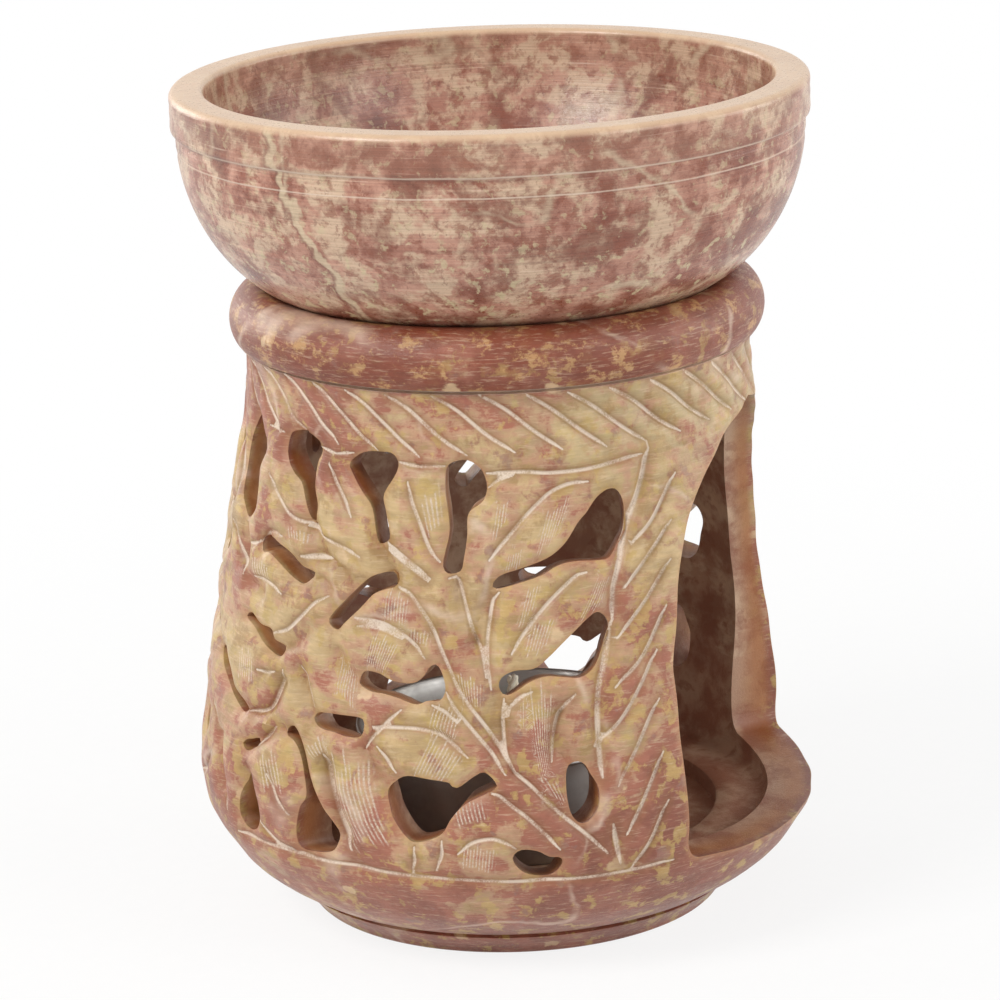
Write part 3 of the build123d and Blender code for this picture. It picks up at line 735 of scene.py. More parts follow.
def wall_sheet(loops, halves, low, high, extra, spacing):
    """Triangulated unrolled wall between two heights, without its openings and its door.

    Gives the points, the faces, and where the rims, door halves and loops are among them.
    """
    fixed, edges, (rim_low, rim_high, doors, rims) = sheet_border(loops, halves, low, high, spacing)
    points = sheet_filling(fixed, extra, low, high, spacing)
    found = delaunay_2d_cdt([Vector(p) for p in points], edges, [], 0, 1e-7, True)
    flat = np.array([tuple(v) for v in found[0]])
    faces = np.array(found[2])
    middles = flat[faces].mean(axis=1)
    gone = np.zeros(len(faces), bool)
    for loop in loops:
        gone |= inside(middles, loop)
    for half, x in zip(halves, (0, 360 * ROUND)):
        gone |= inside(middles, np.vstack((half, [[x, half[-1, 1]], [x, half[0, 1]]])))
    faces = faces[~gone]
    corners = flat[faces]
    turn = np.cross(corners[:, 1] - corners[:, 0], corners[:, 2] - corners[:, 0])
    faces[turn < 0] = faces[turn < 0][:, ::-1]
    used = np.unique(faces)
    renumber = np.full(len(flat), -1)
    renumber[used] = np.arange(len(used))
    place = {old: new for new, olds in enumerate(found[3]) for old in olds}

    def found_again(ids):
        return renumber[[place[k] for k in ids]]

    return (flat[used], renumber[faces], found_again(rim_low), found_again(rim_high),
            [found_again(door) for door in doors], [found_again(rim) for rim in rims])


def near_loops(points, loops, reach):
    """1 on an opening's edge, fading to 0 at a distance from it."""
    tree = search_tree(np.vstack(loops))
    gap = np.array([tree.find((x, z, 0))[2] for x, z in points])
    return np.clip(1 - gap / reach, 0, 1)


def carving_points(sizes, loops):
    """Points that the wall's mesh needs for its carving, each kind with its clearance."""
    narrow, bold, _ = stroke_lines()
    middles, sides = [], []
    for lines, width in ((bold, sizes.bold_width), (narrow, sizes.line_width)):
        for line in lines:
            run = smooth_line(line, LINE_SPACING)
            middles.append(run)
            along = np.gradient(run, axis=0)
            along /= np.hypot(*along.T)[:, None]
            across = np.column_stack((-along[:, 1], along[:, 0]))
            for share in (0.35, 1.0):
                sides.append(run + across * share * width / MM)
                sides.append(run - across * share * width / MM)
    return [(np.vstack(middles), LINE_CLEARANCE), (np.vstack(sides), SIDE_CLEARANCE),
            (beside(loops, (0.45, 1.0)), EDGE_CLEARANCE)]


def build_stand_mesh(sizes):
    """The one-piece stand: foot, pierced wall, collar, throat, hollow and recess."""
    fine = sizes.mesh_spacing / MM
    loops = opening_loops(0.85 * fine)
    right = door_half(0.85 * fine)
    halves = [right, right * [-1, 1] + [360 * ROUND, 0]]
    shell = Shell()

    flat, faces, low, high, doors, rims = wall_sheet(
        loops, halves, WALL_LOW, WALL_HIGH, carving_points(sizes, loops), fine)
    worn = near_loops(flat, loops + halves, 1.0)
    rolled = near_loops(flat, loops, 2.0)
    fade = np.clip((flat[:, 1] - WALL_LOW) / 2, 0, 1) * np.clip((WALL_HIGH - flat[:, 1]) / 1.5, 0, 1)
    radius = body_at(flat[:, 1]) - fade * hand_unevenness(flat, WALL_UNEVENNESS)
    radius = radius - WALL_WEAR * worn ** 2 - WALL_ROLL * rolled ** 2
    ids = shell.add_points(round_wall(flat, radius), 0.0, worn)
    shell.add_faces(ids[faces])

    inner_loops = [inner_loop(loop) for loop in loops]
    flat_in, faces_in, low_in, high_in, doors_in, rims_in = wall_sheet(
        inner_loops, halves, HOLLOW_LOW, HOLLOW_HIGH, [], HOLLOW_SPACING)
    worn_in = near_loops(flat_in, inner_loops + halves, 1.5)
    radius_in = hollow_at(flat_in[:, 1]) + HOLLOW_WEAR * worn_in ** 2
    ids_in = shell.add_points(round_wall(flat_in, radius_in), 1.0, 0.4 * worn_in)
    shell.add_faces(ids_in[faces_in][:, ::-1])

    edges = [(ids[a], ids_in[b], True) for a, b in zip(rims, rims_in)]
    edges += [(ids[doors[0]], ids_in[doors_in[0]], False),
              (ids[doors[1]][::-1], ids_in[doors_in[1]][::-1], False)]
    place = np.vstack(shell.points)
    for start, end, closed in edges:
        before = start
        for row in range(1, OPENING_ROWS):
            share = (row / OPENING_ROWS) ** 1.25
            middle = place[start] * (1 - share) + place[end] * share
            after = shell.add_points(middle, share, max(0, 1 - 3.5 * share))
            shell.strip(before, after, closed)
            before = after
        shell.strip(before, end, closed)

    turn = np.linspace(0, 360 * ROUND, ROUND_STEPS + 1)

    def stack(profile, first=None, last=None, depth=0.0):
        """Rings of a turned part, joined to each other and to the rings before and after."""
        before = first
        for r, z in profile:
            after = shell.add_points(round_wall(row_of(turn, z), r), depth)
            if before is not None:
                shell.strip(before, after, False)
            before = after
        if last is not None:
            shell.strip(before, last, False)
        return before

    stack(FOOT + [(float(body_at(z)), z) for z in ABOVE_FOOT], None, ids[low])
    start = -math.asin((COLLAR_MIDDLE[1] - COLLAR_LOW) / COLLAR_HALF_HEIGHT)
    roll = arc(COLLAR_MIDDLE, COLLAR_HALF_WIDTH, COLLAR_HALF_HEIGHT, math.degrees(start), COLLAR_END, 26)
    mouth = stack(NECK + roll, ids[high])
    stack(THROAT, mouth, ids_in[high_in], 0.6)
    stack(LEDGE_AND_RECESS, ids_in[low_in], None, 1.0)
    mesh = shell.mesh("stand_stone")
    mark_wall(mesh)
    return mesh


def srgb(red, green, blue):
    """A colour of a swatch, 0 to 255, as the scene's linear colour."""
    def linear(value):
        value /= 255
        return value / 12.92 if value <= 0.04045 else ((value + 0.055) / 1.055) ** 2.4
    return (linear(red), linear(green), linear(blue), 1.0)


def placed(name, data):
    """A new object with this data, in the scene."""
    obj = bpy.data.objects.new(name, data)
    bpy.context.scene.collection.objects.link(obj)
    return obj


def new_tree(name, kind, inputs, outputs):
    """A node group and its two ends. An input is given by its start value or its kind."""
    tree = bpy.data.node_groups.new(name, kind)
    for label, value in inputs.items():
        socket = {float: "Float", int: "Int"}.get(type(value), value)
        item = tree.interface.new_socket(label, in_out="INPUT", socket_type="NodeSocket" + socket)
        if socket != value:
            item.default_value = value
    for label, socket in outputs.items():
        tree.interface.new_socket(label, in_out="OUTPUT", socket_type="NodeSocket" + socket)
    return tree, tree.nodes.new("NodeGroupInput").outputs, tree.nodes.new("NodeGroupOutput").inputs


def add(tree, kind, feeds=None, **settings):
    """A node with its settings, and its inputs linked or set."""
    node = tree.nodes.new(kind)
    for label, value in settings.items():
        setattr(node, label, value)
    for label, value in (feeds or {}).items():
        if isinstance(value, bpy.types.NodeSocket):
            tree.links.new(value, node.inputs[label])
        else:
            node.inputs[label].default_value = value
    return node


def calc(tree, operation, *values, clamp=False):
    """The result of one Math node."""
    feeds = dict(enumerate(values))
    return add(tree, "ShaderNodeMath", feeds, operation=operation, use_clamp=clamp).outputs[0]


def times(tree, first, *others):
    """The product of two or more values."""
    for other in others:
        first = calc(tree, "MULTIPLY", first, other)
    return first


def plus(tree, first, second):
    """The sum of two values."""
    return calc(tree, "ADD", first, second)


def minus(tree, first, second):
    """The first value less the second."""
    return calc(tree, "SUBTRACT", first, second)


def under_one(tree, value):
    """What a value lacks to 1, and 0 where it is larger."""
    return calc(tree, "SUBTRACT", 1.0, value, clamp=True)


def apart(tree, first, second):
    """How far two values are apart."""
    return calc(tree, "ABSOLUTE", minus(tree, first, second))


def ramp(tree, value, low, high, start=0.0, end=1.0):
    """A value taken smoothly from one range to another."""
    feeds = {"Value": value, "From Min": low, "From Max": high, "To Min": start, "To Max": end}
    return add(tree, "ShaderNodeMapRange", feeds, interpolation_type="SMOOTHSTEP").outputs["Result"]


def noise(tree, vector, scale, detail=4.0, rough=0.55):
    """The outputs of a Noise Texture node: its value first, and Color."""
    feeds = {"Vector": vector, "Scale": scale, "Detail": detail, "Roughness": rough}
    return add(tree, "ShaderNodeTexNoise", feeds).outputs


def mix(tree, share, first, second, blend="MIX"):
    """Two colours mixed by a share."""
    node = add(tree, "ShaderNodeMix", {"Factor": share, 6: first, 7: second},
               data_type="RGBA", blend_type=blend)
    return node.outputs[2]


def vector_math(tree, operation, first, second=None):
    """The result of one Vector Math node."""
    feeds = {0: first}
    if second is not None:
        feeds["Scale" if operation == "SCALE" else 1] = second
    node = add(tree, "ShaderNodeVectorMath", feeds, operation=operation)
    return node.outputs["Value" if operation == "LENGTH" else 0]


def warped(tree, vector, scale, reach):
    """A place pushed about by noise, up to half of a reach each way."""
    bend = noise(tree, vector, scale, 3.0)["Color"]
    centred = vector_math(tree, "SUBTRACT", bend, (0.5, 0.5, 0.5))
    return vector_math(tree, "ADD", vector, vector_math(tree, "SCALE", centred, reach))


def from_axis(tree, place, amount):
    """An offset straight away from the Z axis."""
    flat = vector_math(tree, "MULTIPLY", place, (1.0, 1.0, 0.0))
    return vector_math(tree, "SCALE", vector_math(tree, "NORMALIZE", flat), amount)


def shader_groups():
    """The effects that the stone, the metal and the wax share."""
    made = {}

    def start(label, name, inputs, *outputs):
        tree, into, out = new_tree(name, "ShaderNodeTree", {"Vector": "Vector", **inputs},
                                   dict.fromkeys(outputs, "Float"))
        made[label] = tree
        return tree, into, out

    # Patches of a second colour with ragged, blurred borders.
    tree, into, out = start("mottle", "Stone Mottle", {
        "Scale": 0.3, "Warp": 2.0, "Detail": 6.0, "Balance": 0.5, "Softness": 0.08}, "Mask", "Field")
    moved = warped(tree, into["Vector"], times(tree, into["Scale"], 0.8), into["Warp"])
    field = noise(tree, moved, into["Scale"], into["Detail"], 0.62)[0]
    low = minus(tree, into["Balance"], into["Softness"])
    high = plus(tree, into["Balance"], into["Softness"])
    tree.links.new(ramp(tree, field, low, high), out["Mask"])
    tree.links.new(field, out["Field"])

    # Small inclusions: some cells of a grid of scattered grains.
    tree, into, out = start("flecks", "Stone Flecks", {
        "Scale": 0.6, "Size": 0.35, "Amount": 0.3, "Raggedness": 0.6}, "Mask")
    reach = calc(tree, "DIVIDE", into["Raggedness"], into["Scale"])
    moved = warped(tree, into["Vector"], times(tree, into["Scale"], 2.6), reach)
    cells = add(tree, "ShaderNodeTexVoronoi", {"Vector": moved, "Scale": into["Scale"]}).outputs
    chosen = add(tree, "ShaderNodeSeparateColor", {0: cells["Color"]}).outputs
    picked = calc(tree, "GREATER_THAN", into["Amount"], chosen[0])
    size = times(tree, into["Size"], plus(tree, chosen[1], 0.4))
    fill = ramp(tree, cells["Distance"], size, times(tree, size, 0.6))
    tree.links.new(times(tree, fill, picked), out["Mask"])

    # Thin veins that wander and fade.
    tree, into, out = start("veins", "Stone Veins", {
        "Scale": 0.05, "Width": 0.02, "Wander": 3.0}, "Mask")
    moved = warped(tree, into["Vector"], times(tree, into["Scale"], 5.0), into["Wander"])
    field = noise(tree, moved, into["Scale"], 1.0, 0.4)[0]
    line = ramp(tree, apart(tree, field, 0.5), into["Width"], 0.0)
    fade = noise(tree, into["Vector"], times(tree, into["Scale"], 3.0), 3.0)[0]
    tree.links.new(times(tree, line, ramp(tree, fade, 0.4, 0.6)), out["Mask"])

    # Fine lines that the lathe leaves round a turned piece.
    tree, into, out = start("turning", "Turning Lines", {"Spacing": 0.5, "Break Up": 0.05}, "Height")
    thin = calc(tree, "DIVIDE", 1.0, into["Spacing"])
    along = add(tree, "ShaderNodeCombineXYZ", {0: into["Break Up"], 1: into["Break Up"], 2: thin})
    laid = vector_math(tree, "MULTIPLY", into["Vector"], along.outputs[0])
    tree.links.new(noise(tree, laid, 1.0, 3.0, 0.7)[0], out["Height"])

    # Pale dust of the cut stone, left in grooves.
    tree, into, out = start("chalk", "Chalk Dust", {"Groove": 0.0, "Grain": 2.5, "Cover": 0.8}, "Mask")
    grain = noise(tree, into["Vector"], into["Grain"], 4.0, 0.7)[0]
    patch = noise(tree, into["Vector"], 0.22, 3.0)[0]
    level = plus(tree, times(tree, grain, 0.7), times(tree, patch, 0.3))
    shown = ramp(tree, plus(tree, level, times(tree, into["Groove"], 0.5)), 0.5, 0.8)
    dust = times(tree, shown, times(tree, into["Groove"], into["Cover"]))
    tree.links.new(calc(tree, "MULTIPLY", dust, 1.0, clamp=True), out["Mask"])

    # Streaks of the grain, long round the piece and thin in height.
    tree, into, out = start("streaks", "Grain Streaks", {"Scale": 0.25, "Stretch": 6.0}, "Field")
    thin = add(tree, "ShaderNodeCombineXYZ", {0: 1.0, 1: 1.0, 2: into["Stretch"]}).outputs[0]
    laid = vector_math(tree, "MULTIPLY", into["Vector"], thin)
    tree.links.new(noise(tree, laid, into["Scale"], 5.0, 0.65)[0], out["Field"])
    return made


class Paint:
    """A material as it is put together: its nodes, its coordinates and its colour so far."""

    def __init__(self, name, groups, offset):
        self.groups = groups
        self.material = bpy.data.materials.new(name)
        self.material.use_nodes = True
        self.tree = self.material.node_tree
        place = add(self.tree, "ShaderNodeTexCoord").outputs["Object"]
        self.in_mm = vector_math(self.tree, "SCALE", place, 1.0 / MM)
        self.place = vector_math(self.tree, "ADD", self.in_mm, offset)
        self.colour = None

    def axes(self):
        """The place on the object along X, Y and Z, in millimetres."""
        return add(self.tree, "ShaderNodeSeparateXYZ", {0: self.in_mm}).outputs

    def effect(self, group, **values):
        """A shared group's outputs. Underscores stand for spaces in its inputs' names."""
        values.setdefault("Vector", self.place)
        feeds = {label.replace("_", " "): value for label, value in values.items()}
        return add(self.tree, "ShaderNodeGroup", feeds, node_tree=self.groups[group]).outputs

    def start(self, share, first, second):
        """The ground of the colour: two colours in a share."""
        self.colour = mix(self.tree, share, first, second)

    def lay(self, share, colour, amount=None):
        """Lays a colour over the one so far by a share, or by an amount of that share."""
        if amount is not None:
            share = times(self.tree, share, amount)
        self.colour = mix(self.tree, share, self.colour, colour)

    def dapple(self, colour, amount, **values):
        """Lays a colour in mottled patches and gives their mask."""
        mask = self.effect("mottle", **values)["Mask"]
        self.lay(mask, colour, amount)
        return mask

    def shade(self, factor):
        """Makes the colour so far darker or lighter by a factor."""
        self.colour = mix(self.tree, 1.0, self.colour, grey(self.tree, factor), "MULTIPLY")

    def finish(self, rough, height, strength, reach, **constants):
        """The finished material, with a bump made from a height."""
        shader = self.tree.nodes["Principled BSDF"].inputs
        for label, value in constants.items():
            shader[label.replace("_", " ")].default_value = value
        bump = add(self.tree, "ShaderNodeBump", {"Height": height, "Strength": strength, "Distance": reach})
        self.tree.links.new(self.colour, shader["Base Color"])
        self.tree.links.new(rough, shader["Roughness"])
        self.tree.links.new(bump.outputs[0], shader["Normal"])
        return self.material


def point_value(tree, label):
    """A point value of the mesh, read in a material."""
    return add(tree, "ShaderNodeAttribute", attribute_name=label).outputs["Fac"]


def band_of(tree, value, middle, half):
    """1 in the middle of a narrow band of a value, 0 outside it."""
    return ramp(tree, apart(tree, value, middle), half, 0.0)


def hatching(tree, grain):
    """Thin broken strokes that shade the leaves, drawn from the numbers written on the wall."""
    number = point_value(tree, "hatch_number")
    way = point_value(tree, "hatch_way")
    here = point_value(tree, "hatch_here")
    nearest = calc(tree, "ROUND", number)
    line = ramp(tree, apart(tree, number, nearest), 0.3, 0.12)
    chance = add(tree, "ShaderNodeTexWhiteNoise", {"W": nearest}, noise_dimensions="1D").outputs
    ends = add(tree, "ShaderNodeSeparateColor", {0: chance["Color"]}).outputs
    start = times(tree, ends[0], 0.22)
    stop = minus(tree, 1.0, times(tree, ends[1], 0.25))
    begun = ramp(tree, minus(tree, way, start), -0.04, 0.06)
    not_done = ramp(tree, minus(tree, stop, way), -0.04, 0.06)
    shown = times(tree, begun, not_done, here)
    dotted = ramp(tree, grain, 0.4, 0.6, 0.25, 1.0)
    return times(tree, line, shown, dotted)


def grey(tree, value):
    """A value as a grey colour."""
    return add(tree, "ShaderNodeCombineColor", {0: value, 1: value, 2: value}).outputs[0]


# Heights between which the stone of the wall turns into the stone of the collar.
NECK_ABOVE = (68.8, 69.6)


def stand_material(groups, look):
    """Ochre soapstone that turns red towards the foot, the door and the collar."""
    paint = Paint("stand_stone", groups, (31.0, -12.0, 7.0))
    tree, place = paint.tree, paint.place
    _, y, z = paint.axes()
    streak = paint.effect("streaks", Scale=0.2, Stretch=5.0)["Field"]
    cloud = paint.effect("mottle", Scale=0.07, Warp=6.0, Balance=0.5, Softness=0.14)["Mask"]
    paint.start(cloud, look.ochre, look.pale_ochre)
    paint.dapple(srgb(158, 122, 76), 0.65, Scale=0.22, Warp=4.0, Balance=0.54, Softness=0.06)

    # How red the stone is: more so towards the foot, the door, the band's back and the collar.
    low = ramp(tree, z, 34.0, 9.0, 0.0, 0.17)
    band = times(tree, ramp(tree, z, 56.0, 62.0), ramp(tree, y, -12.0, 24.0, 0.0, 0.2))
    to_door = ramp(tree, times(tree, y, -1.0), -2.0, 30.0)
    beside_door = times(tree, to_door, ramp(tree, z, 60.0, 12.0, 0.03, 0.15))
    collar = ramp(tree, z, *NECK_ABOVE, 0.0, 0.22)
    bias = plus(tree, plus(tree, low, band), plus(tree, beside_door, collar))
    field = paint.effect("mottle", Scale=0.13, Warp=7.0, Detail=7.0)["Field"]
    field = plus(tree, field, times(tree, minus(tree, streak, 0.5), 0.35))
    level = plus(tree, field, bias)
    paint.lay(ramp(tree, level, 0.47, 0.56), look.peach, 0.8)
    red = ramp(tree, level, 0.56, 0.635)
    paint.lay(red, look.red, 0.9)
    paint.lay(ramp(tree, level, 0.67, 0.79), look.deep_red, 0.75)

    # Yellow, rust and ash patches, and a paler part of the band.
    paint.dapple(srgb(190, 162, 98), 0.7,
                 Scale=0.36, Warp=3.0, Detail=8.0, Balance=0.565, Softness=0.035)
    rust = paint.dapple(srgb(154, 86, 70), 0.75,
                        Scale=0.3, Warp=2.5, Detail=8.0, Balance=0.61, Softness=0.05)
    paint.dapple(srgb(140, 126, 116), 0.4,
                 Scale=0.3, Warp=2.0, Detail=6.0, Balance=0.64, Softness=0.04)
    in_band = times(tree, ramp(tree, z, 55.0, 62.0), ramp(tree, z, 69.5, 68.5))
    high = times(tree, in_band, ramp(tree, y, 4.0, -24.0))
    fuzz = ramp(tree, noise(tree, place, 0.35, 8.0, 0.65)[0], 0.46, 0.56)
    paint.lay(high, srgb(192, 174, 134), times(tree, fuzz, 0.6))

    # The collar's brown stone with its light spots.
    ring = ramp(tree, z, *NECK_ABOVE)
    brown = ramp(tree, noise(tree, place, 0.16, 7.0, 0.6)[0], 0.44, 0.56, 0.35, 0.92)
    paint.lay(ring, srgb(126, 64, 44), brown)
    squat = vector_math(tree, "MULTIPLY", place, (1.0, 1.0, 1.4))
    spots = noise(tree, squat, 0.34, 9.0, 0.72)[0]
    paint.lay(ring, srgb(188, 148, 100), ramp(tree, spots, 0.53, 0.62, 0.0, 0.8))

    # Grains, veins and the scraper's streaks.
    grains = paint.effect("flecks", Scale=0.28, Size=0.28, Amount=0.08)["Mask"]
    paint.lay(grains, srgb(218, 190, 150), 0.7)
    paint.lay(paint.effect("veins", Scale=0.035, Width=0.012)["Mask"], srgb(224, 200, 180), 0.55)
    paint.shade(ramp(tree, streak, 0.3, 0.7, 0.84, 1.12))
    scrape = paint.effect("streaks", Scale=0.5, Stretch=9.0)["Field"]
    paint.lay(ramp(tree, scrape, 0.52, 0.68, 0.0, 0.32), srgb(222, 196, 166))

    # Rubbed edges, lighter as wear and as a painted highlight; the openings' walls near the outside,
    # orange-brown as their stone and as a painted glow of light through it; and the dusty hollow behind
    # them.
    depth = point_value(tree, "depth")
    rub_and_highlight = times(tree, point_value(tree, "worn"), calc(tree, "LESS_THAN", depth, SKIN_DEPTH))
    # Painted highlight, with the wear: the rubbed edges are made lighter.
    paint.lay(calc(tree, "POWER", rub_and_highlight, 1.5), srgb(196, 152, 106), 0.4)
    clouds = paint.effect("mottle", Scale=0.15, Warp=5.0, Detail=8.0, Balance=0.5, Softness=0.1)["Mask"]
    # Painted glow: the openings' walls near the outside are orange-brown as their stone and as if lit
    # through the thin stone.
    wall_and_glow = mix(tree, clouds, look.cut_stone, srgb(178, 122, 78))
    paint.lay(ramp(tree, depth, 0.02, 0.3, 0.0, 0.85), wall_and_glow)
    dusty = mix(tree, clouds, srgb(158, 116, 96), srgb(208, 180, 154))
    dusty = mix(tree, times(tree, red, 0.35), dusty, srgb(138, 72, 54))
    dusty = mix(tree, times(tree, rust, 0.5), dusty, srgb(120, 58, 42))
    paint.lay(ramp(tree, depth, 0.35, 1.0, 0.0, 0.85), dusty)

    # Painted shade in the valleys beside the lines and in the scoops, and chalk in the gouge's path, in the
    # shading strokes and under the collar.
    grain = noise(tree, place, 4.5, 3.0, 0.7)[0]
    patch = noise(tree, place, 0.3, 3.0)[0]
    cut = point_value(tree, "cut")
    path = ramp(tree, cut, 0.74, 0.92)
    shown = ramp(tree, calc(tree, "MULTIPLY_ADD", patch, 1.2, grain), 0.8, 1.24, 0.16, 0.92)
    scored = hatching(tree, grain)
    # Painted shade: the valleys' slopes are darkened as if shadow falls in them.
    paint.lay(ramp(tree, point_value(tree, "valley"), 0.0, 0.8, 0.0, 0.35), srgb(140, 100, 62))
    chalk = calc(tree, "MAXIMUM", times(tree, path, shown), times(tree, scored, 0.82))
    paint.lay(chalk, look.chalk)
    neck = paint.effect("chalk", Groove=band_of(tree, z, 69.4, 0.5), Cover=0.7)["Mask"]
    paint.lay(neck, look.chalk)

    fine = noise(tree, place, 3.0, 5.0, 0.7)[0]
    turning = paint.effect("turning", Spacing=0.45, Break_Up=0.03)["Height"]
    turned = times(tree, turning, ramp(tree, z, 68.0, 70.0, 0.3, 0.9))
    height = plus(tree, times(tree, fine, 0.7), turned)
    for mark, deep in ((grains, 0.4), (ramp(tree, cut, 0.55, 0.95), 1.6), (scored, 0.9)):
        height = minus(tree, height, times(tree, mark, deep))
    rough = ramp(tree, plus(tree, fine, chalk), 0.2, 1.4, 0.34, 0.8)
    return paint.finish(rough, height, 0.45, 0.0002, Specular_IOR_Level=0.45)


def bowl_vein(tree, place, x, y, z):
    """The pale vein that comes down the bowl's photographed side, and its dark edge."""
    turn = calc(tree, "ARCTAN2", x, times(tree, y, -1.0))
    degrees = times(tree, turn, 180 / math.pi)
    wander = minus(tree, noise(tree, place, 0.28, 3.0)[0], 0.5)
    line = calc(tree, "MULTIPLY_ADD", z, -0.5, -66.5)
    line = calc(tree, "MULTIPLY_ADD", wander, 9.0, line)
    off = minus(tree, degrees, line)
    return (ramp(tree, apart(tree, off, 0.3), 1.5, 0.5),
            ramp(tree, apart(tree, off, -1.0), 0.9, 0.2))


def bowl_material(groups, look):
    """Rose and cream mottled stone with rust patches, turned and lightly polished."""
    paint = Paint("bowl_stone", groups, (-4.0, 23.0, 51.0))
    tree, place = paint.tree, paint.place
    x, y, z = paint.axes()
    radius = calc(tree, "SQRT", plus(tree, times(tree, x, x), times(tree, y, y)))

    # Patches, from the largest to the smallest.
    flat = vector_math(tree, "MULTIPLY", place, (0.9, 0.9, 1.0))
    pink = paint.effect("mottle", Vector=flat, Scale=0.3, Warp=3.0, Softness=0.12)["Mask"]
    paint.start(pink, look.rose, srgb(190, 144, 124))
    paint.dapple(look.cream, 0.75,
                 Vector=flat, Scale=0.24, Warp=4.0, Detail=9.0, Balance=0.51, Softness=0.06)
    rust = paint.effect("mottle", Vector=flat, Scale=0.16, Warp=4.0, Detail=9.0, Balance=0.535,
                        Softness=0.07)
    paint.lay(rust["Mask"], look.rust, 0.78)
    paint.dapple(srgb(134, 74, 54), 0.68,
                 Vector=flat, Scale=0.5, Warp=2.0, Detail=9.0, Balance=0.56, Softness=0.06)
    paint.lay(ramp(tree, rust["Field"], 0.60, 0.72), srgb(98, 48, 34), 0.68)
    specks = paint.dapple(srgb(120, 68, 54), 0.5,
                          Scale=1.1, Warp=0.8, Detail=6.0, Balance=0.6, Softness=0.05)
    near_foot = ramp(tree, z, 94.0, 78.0, 0.45, 0.9)
    paint.dapple(srgb(196, 180, 144), near_foot,
                 Scale=0.6, Warp=1.5, Detail=8.0, Balance=0.60, Softness=0.04)

    # Fine veins, and the large one on the outside.
    paint.lay(paint.effect("veins", Scale=0.04, Width=0.014)["Mask"], srgb(206, 188, 160), 0.6)
    outer = ramp(tree, radius, 17.0, 22.0)
    vein, vein_edge = bowl_vein(tree, place, x, y, z)
    paint.lay(vein_edge, srgb(112, 68, 54), times(tree, outer, 0.5))
    paint.lay(vein, srgb(204, 186, 156), times(tree, outer, 0.75))

    # Marks of the lathe, the paler band, the rim's top made paler as its stone and as a painted highlight,
    # and the two scored lines under the band.
    turning = paint.effect("turning", Spacing=0.2, Break_Up=0.035)["Height"]
    paint.shade(ramp(tree, turning, 0.3, 0.7, 0.86, 1.12))
    paint.lay(ramp(tree, z, 94.4, 95.6, 0.0, 0.15), srgb(186, 152, 128))
    # The rim's top: paler stone and a painted highlight where light falls on it.
    paint.lay(ramp(tree, z, 99.0, 99.9, 0.0, 0.8), srgb(226, 194, 160))
    outside = ramp(tree, radius, 34.6, 35.4)
    waver = calc(tree, "MULTIPLY_ADD", noise(tree, place, 0.12, 2.0)[0], 0.3, z)
    lines = calc(tree, "MAXIMUM", band_of(tree, waver, 95.35, 0.26),
                 times(tree, band_of(tree, waver, 93.0, 0.2), 0.8))
    ring = paint.effect("chalk", Groove=times(tree, lines, outside), Grain=0.7, Cover=0.75)["Mask"]
    broken = paint.effect("streaks", Scale=0.16, Stretch=14.0)["Field"]
    scratch = times(tree, ramp(tree, turning, 0.56, 0.7), ramp(tree, broken, 0.5, 0.66))
    pale = calc(tree, "MAXIMUM", ring, times(tree, scratch, 0.5))
    paint.lay(pale, srgb(222, 204, 186))

    fine = noise(tree, place, 2.4, 5.0, 0.7)[0]
    height = plus(tree, times(tree, fine, 0.35), times(tree, turning, 0.6))
    height = minus(tree, height, times(tree, specks, 0.15))
    rough = ramp(tree, plus(tree, fine, pale), 0.2, 1.3, 0.24, 0.6)
    return paint.finish(rough, height, 0.3, 0.00015, Specular_IOR_Level=0.5)


def metal_material(groups, name):
    """Pressed thin metal with a soft satin finish and faint forming marks."""
    paint = Paint(name, groups, (3.0, 5.0, 0.0))
    tree = paint.tree
    marks = paint.effect("turning", Spacing=0.25, Break_Up=0.05)["Height"]
    smudge = paint.effect("mottle", Scale=0.25, Softness=0.2)["Mask"]
    paint.start(smudge, srgb(176, 174, 171), srgb(160, 157, 154))
    rough = ramp(tree, plus(tree, marks, smudge), 0.2, 1.6, 0.32, 0.52)
    height = plus(tree, times(tree, marks, 0.3), noise(tree, paint.place, 0.5)[0])
    return paint.finish(rough, height, 0.25, 0.0001, Metallic=1.0)


def wax_material(groups):
    """Poured white wax, a little clouded."""
    paint = Paint("wax", groups, (8.0, 2.0, 0.0))
    tree = paint.tree
    cloud = paint.effect("mottle", Scale=0.18, Softness=0.2)["Mask"]
    grain = noise(tree, paint.place, 1.4, 3.0)[0]
    paint.start(cloud, srgb(246, 243, 235), srgb(236, 231, 219))
    height = plus(tree, times(tree, cloud, 0.6), times(tree, grain, 0.3))
    return paint.finish(ramp(tree, grain, 0.3, 0.7, 0.3, 0.42), height, 0.25, 0.0003,
                        Subsurface_Weight=0.3, Subsurface_Scale=0.002)


def wick_material(groups):
    """Waxed braided cotton."""
    paint = Paint("wick_cotton", groups, (0.0, 0.0, 0.0))
    strands = paint.effect("streaks", Scale=1.8, Stretch=0.4)["Field"]
    paint.start(ramp(paint.tree, strands, 0.35, 0.65), srgb(212, 200, 176), srgb(238, 232, 216))
    return paint.finish(ramp(paint.tree, strands, 0.2, 0.8, 0.6, 0.9), strands, 0.5, 0.0002)


def named(tree, label, kind="FLOAT"):
    """A point value of the mesh that the tree works on."""
    return add(tree, "GeometryNodeInputNamedAttribute", {"Name": label}, data_type=kind).outputs[0]


def store_higher(tree, geometry, label, value):
    """The geometry with a point value raised to another where that is higher."""
    feeds = {"Geometry": geometry, "Name": label,
             "Value": calc(tree, "MAXIMUM", value, named(tree, label))}
    return add(tree, "GeometryNodeStoreNamedAttribute", feeds,
               data_type="FLOAT", domain="POINT").outputs[0]


